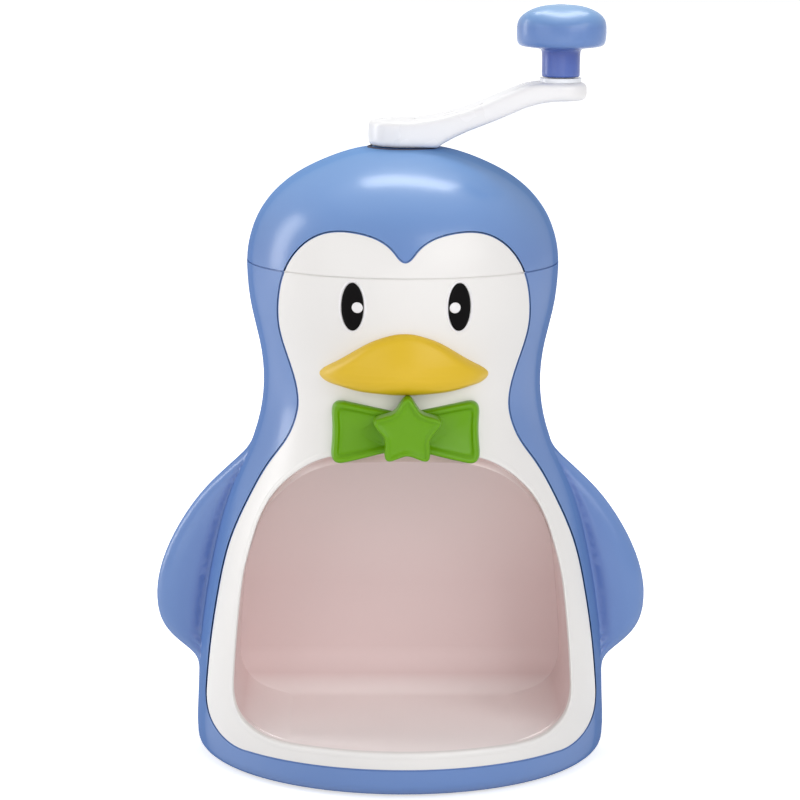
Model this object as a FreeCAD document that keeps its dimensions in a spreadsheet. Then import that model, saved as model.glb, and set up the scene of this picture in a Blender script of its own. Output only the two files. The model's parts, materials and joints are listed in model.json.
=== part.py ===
import FreeCAD, Part
import math
import os

import Sketcher
from FreeCAD import Placement, Rotation, Vector

# Hand cranked ice shaver with a penguin-shaped body.  Millimetres, +Z up, front towards -Y.
# The origin is on the surface that it stands on, under the axis of the turned body.

SIZES = {
    "foot_drop": 1.0,            # rubber feet below the shell
    "base_radius": 79.6,
    "corner_radius": 5.0,        # rounding at the foot of the shell
    "neck_radius": 53.6,
    "neck_level": 146.0,
    "seam_radius": 60.0,
    "seam_level": 192.5,         # where the head lifts off
    "dome_level": 236.0,
    "seam_gap": 0.5,
    "panel_gap": 0.6,
    "wall": 2.5,
    "flange": 1.4,               # hidden edge of the white panels, behind the shell
    "lip_depth": 2.1,            # lip around the serving bay, behind the wall
    "bay_floor": 17.8,
    "bay_wall": 2.0,
    "apron_wall": 1.3,           # sheet between the lip and the lower ceiling of the bay
    "bay_depth": 18.0,           # back wall of the bay, behind the axis
    "flipper_angle": 5.6,        # half angle that one flipper takes
    "chamber_bore": 41.0,
    "chamber_wall": 2.5,
    "chamber_floor": 129.5,
    "chamber_rim": 188.5,
    "blade_tilt": 25.0,
    "shaft_square": 8.0,
    "journal_radius": 5.8,
    "bush_radius": 8.8,
    "press_radius": 40.3,
    "press_level": 137.0,
    "press_hub_radius": 17.6,
    "spring_radius": 15.0,
    "spring_wire": 2.0,
    "spring_turns": 7.0,
    "crank_radius": 60.0,        # hub axis to knob axis
    "hub_radius": 13.6,
    "hub_top": 246.3,
    "arm_end_radius": 10.1,
    "arm_seat": 260.8,           # face that carries the knob
    "stem_radius": 7.5,
    "stem_level": 262.7,
    "cap_radius": 17.0,
    "cap_level": 275.2,
    "knob_top": 290.3,
    "running_gap": 0.06,
}

# Profile of the turned body and head from the foot to the crank's seat: radius, level.
BODY_PROFILE = [(79.5, 20), (79.0, 35), (76.5, 60), (72, 84), (66, 104), (59.7, 118), (55.6, 130)]
HEAD_PROFILE = [(55.0, 160), (58.6, 176), (59.9, 188)]
DOME_PROFILE = [(59.2, 199.4), (55.4, 210.3), (45.2, 222.4), (30.2, 230.9), (13.5, 235.7)]
# Right half of the flipper's outline in the plane through both flippers: half width, level.
FLIPPER_OUTLINE = [(60.0, 118), (68.2, 110.4), (76.2, 102.5), (85.1, 90.6), (91.3, 78.7), (95.0, 66.6),
                   (95.5, 57), (93.6, 49.2), (88.6, 42.6), (83.0, 38.0), (79.1, 33.5)]
# Right half of the white face and belly, from the notch between the brows down to the foot.
FACE_OUTLINE = [(0, 198.3), (2.2, 199.3), (4.2, 201.7), (6.6, 204.1), (10.5, 206.4), (16.4, 208.1),
                (22.3, 208.7), (28.3, 208.1), (34.3, 205.6), (40.2, 200.3), (43.8, 194.5), (46.9, 181.6),
                (46.6, 170.5), (43.0, 158.3), (40.0, 148), (39.5, 141.5), (40.6, 135.8), (44.1, 127.8),
                (49.8, 119.5), (58.7, 103.7), (65.5, 87.6), (70.3, 67), (73.2, 47.9), (74.8, 31.8),
                (75.0, 23.9), (73.4, 18.4), (69.8, 14.6), (65.2, 12.4), (58.5, 11.7)]
# Right half of the serving bay's opening, and of the outer line of its thick lip.
BAY_OUTLINE = [(0, 127.0), (14, 126.4), (25.8, 124.8), (33.5, 121.9), (41.6, 116.3), (49.2, 108.2),
               (53.9, 99.9), (57.6, 88.9), (60.3, 78.4), (61.9, 67), (63.3, 52), (64.2, 38), (64.1, 31),
               (62.3, 25.4), (58.4, 21.4), (52.2, 18.9), (44, 17.5), (36, 16.9), (18, 16.6), (0, 16.6)]
LIP_OUTLINE = [(0, 130.2), (14, 129.7), (27.1, 127.9), (36, 124.8), (44.2, 119.0), (52, 110.6),
               (57, 101.7), (60.9, 90.1), (63.8, 79), (65.2, 67.3), (66.6, 52.1), (67.5, 38), (67.4, 30),
               (65.5, 23.6), (60.5, 18.8), (53.0, 16.2), (39.2, 15.0), (20, 14.5), (0, 14.4)]
# The bay's hollow behind the lip; its ceiling is lower than the opening's upper edge.
ROOM_OUTLINE = [(0, 122.9), (14, 122.3), (25.8, 120.6), (38, 115.2), (46.6, 107.6), (52.4, 99.8),
                (56.8, 88.9), (59.7, 78.4), (61.3, 67), (62.7, 52), (63.6, 38), (63.5, 31),
                (61.7, 25.6), (57.9, 21.7), (51.8, 19.3), (44, 18.0), (36, 17.2), (18, 16.9), (0, 16.9)]
BEAK_OUTLINE = [(0, 171.9), (3.5, 171.6), (7.2, 170.6), (11, 169.2), (18.6, 165.0), (26.2, 160.6),
                (30.2, 158.0), (31.2, 156.0), (29.6, 154.4), (25.4, 153.2), (18.6, 151.7), (11, 150.6),
                (4, 150.1), (0, 150.0)]
BOW_OUTLINE = [(0, 142.2), (5, 142.6), (9, 143.3), (17, 144.9), (22.4, 145.5), (25.8, 144.4), (27.1, 141.4),
               (26.7, 138), (26.3, 134.5), (26.7, 131), (27.1, 127.0), (26.3, 123.6), (23.2, 122.2),
               (17, 123.6), (9, 126.2), (5, 127.3), (0, 127.8)]
# The dished face of one wing, inside the raised rim.
DISH_OUTLINE = [(9, 141.2), (16.5, 142.8), (22.0, 143.3), (24.2, 141.8), (24.5, 138), (24.1, 134.5),
                (24.5, 131), (24.7, 126.8), (23.0, 124.7), (16.5, 125.9), (9, 128.4), (7.4, 134.5)]

doc = FreeCAD.newDocument("ice_shaver")
sheet = doc.addObject("Spreadsheet::Sheet", "Sizes")
for row, (name, number) in enumerate(SIZES.items(), start=1):
    sheet.set("A%d" % row, name)
    sheet.set("B%d" % row, str(number))
    sheet.setAlias("B%d" % row, name)
doc.recompute()


class Dim:
    """A length that carries its number and the sheet expression that gives it."""

    def __init__(self, number, text):
        self.number = float(number)
        self.text = text

    def joined(self, other, sign):
        other = as_dim(other)
        number = {"+": self.number + other.number, "-": self.number - other.number,
                  "*": self.number * other.number, "/": self.number / (other.number or 1.0)}[sign]
        return Dim(number, "(%s %s %s)" % (self.text, sign, other.text))

    def __add__(self, other):
        return self.joined(other, "+")

    def __sub__(self, other):
        return self.joined(other, "-")

    def __mul__(self, other):
        return self.joined(other, "*")

    def __truediv__(self, other):
        return self.joined(other, "/")

    def __neg__(self):
        return Dim(-self.number, "(0 - %s)" % self.text)


def as_dim(value):
    return value if isinstance(value, Dim) else Dim(value, repr(float(value)))


def dim(name):
    return Dim(sheet.get(name), "Sizes." + name)


def size(name):
    return float(sheet.get(name))


nodes = []


def node(thing, label):
    """Marks a document object as one finished piece."""
    thing.Label = label
    nodes.append(thing)
    return thing


# ---------------------------------------------------------------- features of the sketched pieces

def origin_plane(body, role):
    return [feature for feature in body.Origin.OriginFeatures if feature.Role == role][0]


def closed_sketch(body, role, corners, lift=0):
    """A polygon on one of the body's own planes, each corner held by the sheet."""
    sketch = body.newObject("Sketcher::SketchObject", body.Name + "_sketch")
    sketch.AttachmentSupport = [(origin_plane(body, role), "")]
    sketch.MapMode = "FlatFace"
    if as_dim(lift).number:
        sketch.AttachmentOffset = Placement(Vector(0, 0, as_dim(lift).number), Rotation())
        sketch.setExpression(".AttachmentOffset.Base.z", as_dim(lift).text)
    corners = [(as_dim(a), as_dim(b)) for a, b in corners]
    count = len(corners)
    for index in range(count):
        start, end = corners[index], corners[(index + 1) % count]
        sketch.addGeometry(Part.LineSegment(Vector(start[0].number, start[1].number, 0),
                                            Vector(end[0].number, end[1].number, 0)), False)
    for index in range(count):
        sketch.addConstraint(Sketcher.Constraint("Coincident", index, 2, (index + 1) % count, 1))
    for index, corner in enumerate(corners):
        for kind, axis, value in (("DistanceX", -2, corner[0]), ("DistanceY", -1, corner[1])):
            if value.number == 0:
                sketch.addConstraint(Sketcher.Constraint("PointOnObject", index, 1, axis))
                continue
            place = sketch.addConstraint(Sketcher.Constraint(kind, -1, 1, index, 1, value.number))
            sketch.setExpression("Constraints[%d]" % place, value.text)
    return sketch


def circle_sketch(body, radius, centre=(0, 0), lift=0):
    sketch = body.newObject("Sketcher::SketchObject", body.Name + "_circle")
    sketch.AttachmentSupport = [(origin_plane(body, "XY_Plane"), "")]
    sketch.MapMode = "FlatFace"
    sketch.AttachmentOffset = Placement(Vector(0, 0, as_dim(lift).number), Rotation())
    sketch.setExpression(".AttachmentOffset.Base.z", as_dim(lift).text)
    radius = as_dim(radius)
    sketch.addGeometry(Part.Circle(Vector(centre[0], centre[1], 0), Vector(0, 0, 1), radius.number), False)
    place = sketch.addConstraint(Sketcher.Constraint("Radius", 0, radius.number))
    sketch.setExpression("Constraints[%d]" % place, radius.text)
    for kind, value in (("DistanceX", centre[0]), ("DistanceY", centre[1])):
        sketch.addConstraint(Sketcher.Constraint(kind, -1, 1, 0, 3, float(value)))
    return sketch


def turned(label, corners, axis_x=None):
    """A Body revolved about its own Z axis from (radius, level) corners."""
    body = doc.addObject("PartDesign::Body", label)
    sketch = closed_sketch(body, "XZ_Plane", corners)
    turn = body.newObject("PartDesign::Revolution", label + "_turn")
    turn.Profile = sketch
    turn.ReferenceAxis = (sketch, ["V_Axis"])
    turn.Angle = 360
    if axis_x is not None:
        body.Placement = Placement(Vector(axis_x.number, 0, 0), Rotation())
        body.setExpression(".Placement.Base.x", axis_x.text)
    return body


def pad(body, sketch, length, reverse=False):
    feature = body.newObject("PartDesign::Pad", sketch.Name + "_pad")
    feature.Profile = sketch
    feature.Length = as_dim(length).number
    feature.setExpression("Length", as_dim(length).text)
    feature.Reversed = reverse
    return feature


def pocket(body, sketch, length, reverse=False):
    """A Pocket that has to take material away."""
    doc.recompute()
    before = body.Shape.Volume
    feature = body.newObject("PartDesign::Pocket", sketch.Name + "_cut")
    feature.Profile = sketch
    feature.Length = as_dim(length).number
    feature.setExpression("Length", as_dim(length).text)
    feature.Reversed = reverse
    doc.recompute()
    if not body.Shape.Volume < before - 1e-6:
        raise RuntimeError("%s cuts nothing" % feature.Name)
    return feature


def ringed(body, feature, count):
    """Repeats a feature around the body's Z axis."""
    pattern = body.newObject("PartDesign::PolarPattern", feature.Name + "_ring")
    pattern.Originals = [feature]
    pattern.Axis = ([item for item in body.Origin.OriginFeatures if item.Role == "Z_Axis"][0], [""])
    pattern.Angle = 360
    pattern.Occurrences = count
    body.Tip = pattern
    return pattern


def square_corners(side):
    half = side / 2
    return [(-half, -half), (half, -half), (half, half), (-half, half)]


def free(label, shape):
    """A piece whose form only Part's own functions give."""
    item = node(doc.addObject("Part::Feature", label), label)
    item.Shape = shape


def group(label, pattern, places):
    """One node of equal solids, copied from a sketched pattern piece."""
    doc.recompute()
    copies = []
    for place in places:
        copy = pattern.Shape.copy()
        copy.Placement = place.multiply(copy.Placement)
        copies.append(copy)
    free(label, Part.makeCompound(copies))


def screw(name, head_radius, head_height, shank_radius, length):
    """A pan head screw with a cross recess, head up, seated at level 0."""
    body = turned(name, [(0, -length), (shank_radius, -length), (shank_radius, 0), (head_radius, 0),
                         (head_radius, head_height * 0.55), (head_radius * 0.72, head_height),
                         (0, head_height)])
    depth = head_height * 0.6
    slot = head_radius * 0.55
    thin = slot * 0.36
    cross = closed_sketch(body, "XY_Plane",
                          [(-slot, -thin), (-thin, -thin), (-thin, -slot), (thin, -slot), (thin, -thin),
                           (slot, -thin), (slot, thin), (thin, thin), (thin, slot), (-thin, slot),
                           (-thin, thin), (-slot, thin)], lift=head_height)
    pocket(body, cross, depth)
    return body


# ---------------------------------------------------------------- curves and turned skins

def lower_corner():
    """The rounding at the foot of the shell."""
    radius = size("corner_radius")
    centre_r = size("base_radius") - radius
    centre_z = size("foot_drop") + radius
    angles = [math.radians(angle) for angle in (-90, -67.5, -45, -22.5, 0)]
    return [(centre_r + radius * math.cos(a), centre_z + radius * math.sin(a)) for a in angles]


def outer_curve():
    """The outside of body and head as one curve in the XZ plane, from the foot to the axis."""
    points = lower_corner() + BODY_PROFILE
    points += [(size("neck_radius"), size("neck_level"))] + HEAD_PROFILE
    points += [(size("seam_radius"), size("seam_level"))] + DOME_PROFILE + [(0, size("dome_level"))]
    curve = Part.BSplineCurve()
    curve.interpolate(Points=[Vector(r, 0, z) for r, z in points],
                      InitialTangent=Vector(1, 0, 0), FinalTangent=Vector(-1, 0, 0), Scale=False)
    return curve


OUTER = outer_curve()


def at_level(level):
    """Parameter of the outer curve where it reaches a level."""
    low, high = OUTER.FirstParameter, OUTER.LastParameter
    for step in range(50):
        middle = (low + high) / 2
        if OUTER.value(middle).z < level:
            low = middle
        else:
            high = middle
    return (low + high) / 2


def skin(inset):
    """The solid inside the turned surface, moved in by inset (out where it is negative)."""
    first = at_level(size("foot_drop") + size("corner_radius"))
    last = OUTER.LastParameter
    samples = 42
    points = []
    for index in range(samples + 1):
        place = first + (last - first) * index / samples
        point, along = OUTER.value(place), OUTER.tangent(place)[0]
        points.append(point + Vector(-along.z, 0, along.x) * inset)
    points[-1].x = 0
    curve = Part.BSplineCurve()
    curve.interpolate(Points=points, InitialTangent=Vector(0, 0, 1), FinalTangent=Vector(-1, 0, 0),
                      Scale=False)
    foot, top = points[0], points[-1]
    edges = [curve.toShape(),
             Part.makeLine(top, Vector(0, 0, 0)),
             Part.makeLine(Vector(0, 0, 0), Vector(foot.x, 0, 0)),
             Part.makeLine(Vector(foot.x, 0, 0), foot)]
    return Part.Face(Part.Wire(edges)).revolve(Vector(0, 0, 0), Vector(0, 0, 1), 360)


def through(vectors, closed_top):
    """Curve through the points, level at its middle end and level or just rising at its foot."""
    rise = 0 if closed_top else 0.1
    curve = Part.BSplineCurve()
    curve.interpolate(Points=vectors, InitialTangent=Vector(1, 0, 0),
                      FinalTangent=Vector(-1, 0, rise), Scale=False)
    return curve


def half_spline(half, grow=0.0, closed_top=True):
    """The right half of an outline as a curve in the XZ plane, grown along its own normal."""
    vectors = [Vector(x, 0, z) for x, z in half]
    base = through(vectors, closed_top)
    if not grow:
        return base
    moved = []
    for vector in vectors:
        along = base.tangent(base.parameter(vector))[0]
        moved.append(vector + Vector(-along.z, 0, along.x) * grow)
    for end in (0, -1):
        if half[end][0] == 0:
            moved[end].x = 0
    return through(moved, closed_top)


def prism(half, near, far, grow=0.0, closed_top=True):
    """A symmetrical outline carried from y = near to y = far."""
    right = half_spline(half, grow, closed_top).toShape()
    left = right.mirror(Vector(0, 0, 0), Vector(1, 0, 0))
    edges = [right, left]
    foot = right.valueAt(right.LastParameter)
    if foot.x > 1e-6:
        edges.append(Part.makeLine(foot, Vector(-foot.x, 0, foot.z)))
    wire = Part.Wire(Part.sortEdges(edges)[0])
    face = Part.Face(wire)
    face.translate(Vector(0, near, 0))
    return face.extrude(Vector(0, far - near, 0))


def slab(low, high, reach=200.0):
    """Everything between two levels."""
    return Part.makeBox(2 * reach, 2 * reach, high - low, Vector(-reach, -reach, low))


def rod(radius, low, high, x=0.0, y=0.0):
    return Part.makeCylinder(radius, high - low, Vector(x, y, low))


def tube(inner, outer, low, high):
    return rod(outer, low, high).cut(rod(inner, low - 1, high + 1))


def side_rod(radius, x, z, near, far):
    """A rod along Y."""
    return Part.makeCylinder(radius, far - near, Vector(x, near, z), Vector(0, 1, 0))


def around(radius, degrees, level=0.0):
    angle = math.radians(degrees)
    return Vector(radius * math.cos(angle), radius * math.sin(angle), level)


# ---------------------------------------------------------------- body shells with their flippers

def flipper_curve():
    curve = Part.BSplineCurve()
    curve.interpolate(Points=[Vector(x, 0, z) for x, z in FLIPPER_OUTLINE])
    return curve


FLIPPER = flipper_curve()


def flipper_reach(radius, level):
    """How far the flipper's edge stands out of the turned surface at a level."""
    low, high = FLIPPER.FirstParameter, FLIPPER.LastParameter
    if not FLIPPER.value(high).z < level < FLIPPER.value(low).z:
        return 0.0
    for step in range(40):
        middle = (low + high) / 2
        if FLIPPER.value(middle).z > level:
            low = middle
        else:
            high = middle
    return max(0.0, FLIPPER.value(low).x - radius)


def shell_sections(low, high):
    """Places along the outer curve: close together round the foot's corner, then even."""
    first, last = at_level(low), at_level(high)
    corner = at_level(size("foot_drop") + size("corner_radius"))
    places = [first + (corner - first) * step / 6 for step in range(6)] if first < corner - 1 else []
    start = corner if places else first
    return places + [start + (last - start) * step / 46 for step in range(47)]


def flipper_share(off_side, width):
    """Share of the flipper's reach at an angle off its middle plane: a rounded blade."""
    return max(0.0, 1 - (off_side / width) ** 2) ** 0.65


FLIPPER_STEPS = (0, 0.2, 0.4, 0.58, 0.74, 0.87, 0.95, 1.0, 1.12, 1.4, 2.0, 3.0, 4.6, 6.8, 9.4, 12.6)


def body_solid(inset, low, high, share, width_share):
    """The turned body with both flippers, moved in by inset, as one smooth solid.

    Its seam runs up the middle of the back, away from the plane where the halves meet.
    """
    width = math.radians(size("flipper_angle")) * width_share
    quarter = [width * step for step in FLIPPER_STEPS if width * step < 1.45] + [math.pi / 2]
    half = quarter + [math.pi - angle for angle in reversed(quarter[:-1])]
    angles = half + [-angle for angle in reversed(half[1:-1])]
    rear = half.index(quarter[-1])
    angles = angles[rear:] + angles[:rear]
    wires = []
    for place in shell_sections(low, high + 2):
        point = OUTER.value(place)
        reach = flipper_reach(point.x, point.z) * share
        ring = []
        for angle in angles:
            off_side = min(abs(angle), math.pi - abs(angle))
            radius = point.x - inset + reach * flipper_share(off_side, width)
            ring.append(Vector(radius * math.cos(angle), radius * math.sin(angle), point.z))
        curve = Part.BSplineCurve()
        curve.interpolate(Points=ring, PeriodicFlag=True)
        wires.append(Part.Wire([curve.toShape()]))
    return Part.makeLoft(wires, True, False).common(slab(low, high))


def front_of(shape):
    return shape.common(Part.makeBox(400, 200, 400, Vector(-200, -200, -50)))


def rear_of(shape):
    return shape.common(Part.makeBox(400, 200, 400, Vector(-200, 0, -50)))


BOSSES = [(73.3, 25.0), (48.4, 141.0), (51.6, 172.0)]      # shell screws: half width, level


FLIPPER_CORE_REACH = 0.8       # hollow of a flipper as a share of its reach and of its width
FLIPPER_CORE_WIDTH = 0.62


def body_shells():
    """Front and rear half of the blue body, with the bosses of the six shell screws."""
    low = size("foot_drop")
    high = size("seam_level") - size("seam_gap") / 2
    wall = size("wall")
    whole = body_solid(0.0, low, high, 1.0, 1.0)
    inside = body_solid(wall, low + wall, high + 1.5, FLIPPER_CORE_REACH, FLIPPER_CORE_WIDTH)
    well = rod(size("base_radius") - size("corner_radius") - 0.6, low - 3, low + wall + 1)
    opening = prism(FACE_OUTLINE, -12, -120, size("panel_gap"), closed_top=False)
    hollow = inside.fuse(well)
    front = front_of(whole).cut(hollow).cut(opening)
    rear = rear_of(whole).cut(hollow)
    middle = skin(wall / 2)
    front_bosses, front_holes, rear_bosses, rear_holes = [], [], [], []
    for x, z in BOSSES:
        for side in (-1, 1):
            front_bosses.append(side_rod(3.2, side * x, z, -11.5, 0).common(middle))
            front_holes.append(side_rod(1.3, side * x, z, -10, 1))
            rear_bosses.append(side_rod(4.1, side * x, z, 0, 40).common(middle))
            rear_holes.append(side_rod(1.6, side * x, z, -1, 12))
            rear_holes.append(side_rod(3.3, side * x, z, 9, 60))
    front = front.fuse(front_bosses).cut(front_holes)
    rear = rear.fuse(rear_bosses).cut(rear_holes)
    return front, rear


# ---------------------------------------------------------------- white panels and blue dome

OUTSIDE = skin(0.0)
INSIDE = skin(size("wall"))
FLANGED = skin(size("wall") + size("flange"))


def face_panel(low, high, flange_low, flange_high):
    """White skin of the face between two levels, with its flange behind the blue edge."""
    visible = OUTSIDE.cut(INSIDE).common(prism(FACE_OUTLINE, -12, -120, closed_top=False))
    visible = visible.common(slab(low, high))
    hidden = INSIDE.cut(FLANGED).common(prism(FACE_OUTLINE, -12, -120, 4.0, closed_top=False))
    hidden = hidden.common(slab(flange_low, flange_high))
    return visible.fuse(hidden)


def front_panel():
    """Face and belly below the seam, with the rolled lip of the bay and the eyes' pockets."""
    seam = size("seam_level") - size("seam_gap") / 2
    panel = face_panel(5, seam, 8, seam - 6)
    deep = skin(size("wall") + size("lip_depth"))
    lip = OUTSIDE.cut(deep).common(prism(LIP_OUTLINE, -12, -120))
    panel = panel.fuse(lip)
    panel = panel.cut(flat_floored(prism(BAY_OUTLINE, -120, -8)))
    pockets = [eye_block(side) for side in (-1, 1)]
    return panel.cut(pockets).removeSplitter()


def brow_panel():
    seam = size("seam_level") + size("seam_gap") / 2
    return face_panel(seam, 230, seam + 3.5, 230).removeSplitter()


EYE = {"x": 19.4, "level": 181.7, "half_width": 4.1, "half_height": 9.0, "sink": 1.3, "proud": 0.7}
GLINT = {"x": 17.6, "level": 181.6, "radius": 2.1, "sink": 0.3, "proud": 0.75}
EYE_POCKET = skin(EYE["sink"])
EYE_FRONT = skin(-EYE["proud"])
GLINT_BACK = skin(-GLINT["sink"])
GLINT_FRONT = skin(-GLINT["proud"])


def eye_block(side):
    """An upright oval between the pocket floor and the eye's proud face."""
    ring = Part.Ellipse(Vector(0, 0, 0), EYE["half_height"], EYE["half_width"])
    face = Part.Face(Part.Wire([ring.toShape()]))
    face.rotate(Vector(0, 0, 0), Vector(0, 0, 1), 90)
    face.rotate(Vector(0, 0, 0), Vector(1, 0, 0), 90)
    face.translate(Vector(side * EYE["x"], -20, EYE["level"]))
    return face.extrude(Vector(0, -60, 0)).common(EYE_FRONT.cut(EYE_POCKET))


def glint_block(side):
    disc = side_rod(GLINT["radius"], side * GLINT["x"], GLINT["level"], -80, -20)
    return disc.common(GLINT_FRONT.cut(GLINT_BACK))


def beak():
    """Wide bill that stands furthest out at its lower middle."""
    outline = prism(BEAK_OUTLINE, -25, -90)
    radius, centre = 38.0, -25.5
    curve = Part.BSplineCurve()
    curve.interpolate(Points=[Vector(r, 0, z) for r, z in
                              ((radius - 4.2, 174), (radius - 2.9, 170), (radius - 0.9, 163), (radius, 157.5),
                               (radius - 0.6, 153.6), (radius - 2.4, 151.2), (radius - 6.5, 149.6))])
    top, foot = curve.StartPoint, curve.EndPoint
    wire = Part.Wire([curve.toShape(), Part.makeLine(foot, Vector(0, 0, foot.z)),
                      Part.makeLine(Vector(0, 0, foot.z), Vector(0, 0, top.z)),
                      Part.makeLine(Vector(0, 0, top.z), top)])
    bill = Part.Face(wire).revolve(Vector(0, 0, 0), Vector(0, 0, 1), 360)
    bill.translate(Vector(0, centre, 0))
    return outline.common(bill).cut(OUTSIDE)


BOW_FRONT = skin(-4.6)
BOW_DISH = skin(-3.2)
STAR = {"x": 1.1, "level": 136.1, "mean": 10.5, "lobe": 2.1, "point": 0.4, "front": 65.6, "edge": 66.8}


def bow_tie():
    """Bow that wraps the neck, with a dished face in each wing."""
    bow = prism(BOW_OUTLINE, -30, -90).common(BOW_FRONT).cut(OUTSIDE)
    curve = Part.BSplineCurve()
    curve.interpolate(Points=[Vector(x, -30, z) for x, z in DISH_OUTLINE], PeriodicFlag=True)
    dish = Part.Face(Part.Wire([curve.toShape()])).extrude(Vector(0, -60, 0)).cut(BOW_DISH)
    other = dish.mirror(Vector(0, 0, 0), Vector(1, 0, 0))
    return bow.cut(dish).cut(other)


def star_ring(scale, y):
    """Rounded five-pointed outline about the star's middle."""
    points = []
    for index in range(40):
        turn = 2 * math.pi * index / 40
        reach = STAR["mean"] + STAR["lobe"] * math.cos(5 * turn) + STAR["point"] * math.cos(10 * turn)
        points.append(Vector(STAR["x"] - scale * reach * math.sin(turn), -y,
                             STAR["level"] + scale * reach * math.cos(turn)))
    curve = Part.BSplineCurve()
    curve.interpolate(Points=points, PeriodicFlag=True)
    return Part.Wire([curve.toShape()])


def bow_star():
    """Thick rounded star with a bevelled rim, standing on the knot of the bow."""
    body = Part.Face(star_ring(1.0, STAR["front"])).extrude(Vector(0, STAR["front"] - 50, 0))
    crown = Part.makeLoft([star_ring(1.0, STAR["front"]), star_ring(0.88, STAR["edge"])], True, True)
    return body.fuse(crown).removeSplitter().cut(BOW_FRONT)


def head_dome():
    """Blue cap of the head with the tube that carries the shaft bush."""
    low = size("seam_level") + size("seam_gap") / 2
    dome = OUTSIDE.cut(INSIDE).common(slab(low, 240))
    dome = dome.cut(prism(FACE_OUTLINE, -12, -120, size("panel_gap"), closed_top=False))
    tower = rod(12.0, 206, 236).fuse(rod(17.0, 222.6, 236))
    for degrees in HEAD_BOSSES:
        place = around(50, degrees)
        tower = tower.fuse(rod(3.5, 195, 225, place.x, place.y))
    dome = dome.fuse(tower.common(OUTSIDE))
    for degrees in HEAD_BOSSES:
        place = around(50, degrees)
        dome = dome.cut(rod(1.3, 194, 207, place.x, place.y))
    return dome.cut(rod(size("bush_radius"), 200, 240)).removeSplitter()


HEAD_BOSSES = (20, 160, 270)


# ---------------------------------------------------------------- serving bay and base

LINER_POSTS = ((-44, -34), (44, -34), (-40, 8), (40, 8))
FLANGE_SCREWS = (45, 135, 225, 315)
FLANGE_SCREW_RADIUS = 46.4


def flat_floored(shape):
    """The shape with nothing below the bay's floor, which is truly flat."""
    floor = size("bay_floor")
    return shape.cut(slab(floor - 20, floor))


def bay_apron():
    """Block for the curved sheet between the opening's upper edge and the lower ceiling."""
    behind = skin(size("wall") + size("lip_depth") + size("apron_wall"))
    return prism(BAY_OUTLINE, -12, -120, 2.4).common(slab(60, 135)).cut(behind)


def bay_liner():
    """Tub behind the bay's lip, with the ring that carries the blade plate."""
    wall = size("bay_wall")
    back = size("bay_depth")
    room = flat_floored(prism(ROOM_OUTLINE, -120, back))
    behind_lip = skin(size("wall") + size("lip_depth"))
    box = prism(ROOM_OUTLINE, -120, back + wall, wall).fuse(bay_apron()).common(behind_lip)
    ring = tube(36, 40, 108, 121.5).fuse(tube(36, 49, 121.5, size("chamber_floor") - 4))
    for degrees in FLANGE_SCREWS:
        place = around(FLANGE_SCREW_RADIUS, degrees)
        ring = ring.fuse(rod(3.4, 112, 122, place.x, place.y))
    for x, y in LINER_POSTS:
        ring = ring.fuse(rod(4.0, 6.0, 24, x, y))
    liner = box.fuse(ring).cut(room_rounded(room, back))
    chute = rod(34, 100, 130).cut(Part.makeBox(80, 40, 60, Vector(-40, back - 2, 90)))
    liner = liner.cut(chute)
    for degrees in FLANGE_SCREWS:
        place = around(FLANGE_SCREW_RADIUS, degrees)
        liner = liner.cut(rod(1.3, 114, 130, place.x, place.y))
    for x, y in LINER_POSTS:
        liner = liner.cut(rod(1.3, 3, 15.5, x, y))
    return liner.removeSplitter()


def room_rounded(room, back):
    """The bay's hollow, with a large soft radius where its floor meets its back wall."""
    radius = 16.0
    floor = size("bay_floor")
    corner = Part.makeBox(200, radius, radius, Vector(-100, back - radius, floor - 0.05))
    corner = corner.cut(Part.makeCylinder(radius, 220, Vector(-110, back - radius, floor + radius),
                                          Vector(1, 0, 0)))
    return room.cut(corner)


def blade_place():
    tilt = Rotation(Vector(1, 0, 0), size("blade_tilt"))
    return Placement(Vector(17.5, 1.6, size("chamber_floor") + 0.45), tilt)


def blade_solid():
    """Radial plane blade; its ground edge stands just above the plate."""
    length, width, thick = 28.0, 15.0, 1.2
    shape = Part.makeBox(length, width, thick, Vector(-length / 2, -width, -thick))
    edge = Part.makePolygon([Vector(-length / 2 - 1, 0, -thick), Vector(-length / 2 - 1, -2.4, -thick),
                             Vector(-length / 2 - 1, 0, 0), Vector(-length / 2 - 1, 0, -thick)])
    return shape.cut(Part.Face(edge).extrude(Vector(length + 2, 0, 0)))


BLADE_SCREW_X = (-9.0, 9.0)
BLADE_SCREW_Y = -10.5


def blade_plate():
    """Floor of the ice chamber with the throat in front of the blade."""
    floor = size("chamber_floor")
    plate = rod(49, floor - 4, floor)
    wedge = Part.makeBox(36, 22, 7.0, Vector(-18, -16.5, -7.0))
    pad_block = Part.makeBox(38, 20, 10, Vector(-19, -18.5, -0.02))
    pad_block.Placement = blade_place()
    pad_block = pad_block.common(rod(33.5, floor - 9, floor))
    plate = plate.fuse(pad_block)
    hollow = wedge.copy()
    hollow.Placement = blade_place()
    plate = plate.cut(hollow)
    throat = Part.makeBox(29, 3.2, 14, Vector(3, 1.0, floor - 12))
    plate = plate.cut(throat)
    for degrees in FLANGE_SCREWS:
        place = around(FLANGE_SCREW_RADIUS, degrees)
        plate = plate.cut(rod(1.6, floor - 6, floor + 2, place.x, place.y))
    for x in BLADE_SCREW_X:
        hole = Part.makeCylinder(1.2, 3.2, Vector(x, BLADE_SCREW_Y, -0.5))
        hole.Placement = blade_place()
        plate = plate.cut(hole)
    return plate.removeSplitter()


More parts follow.
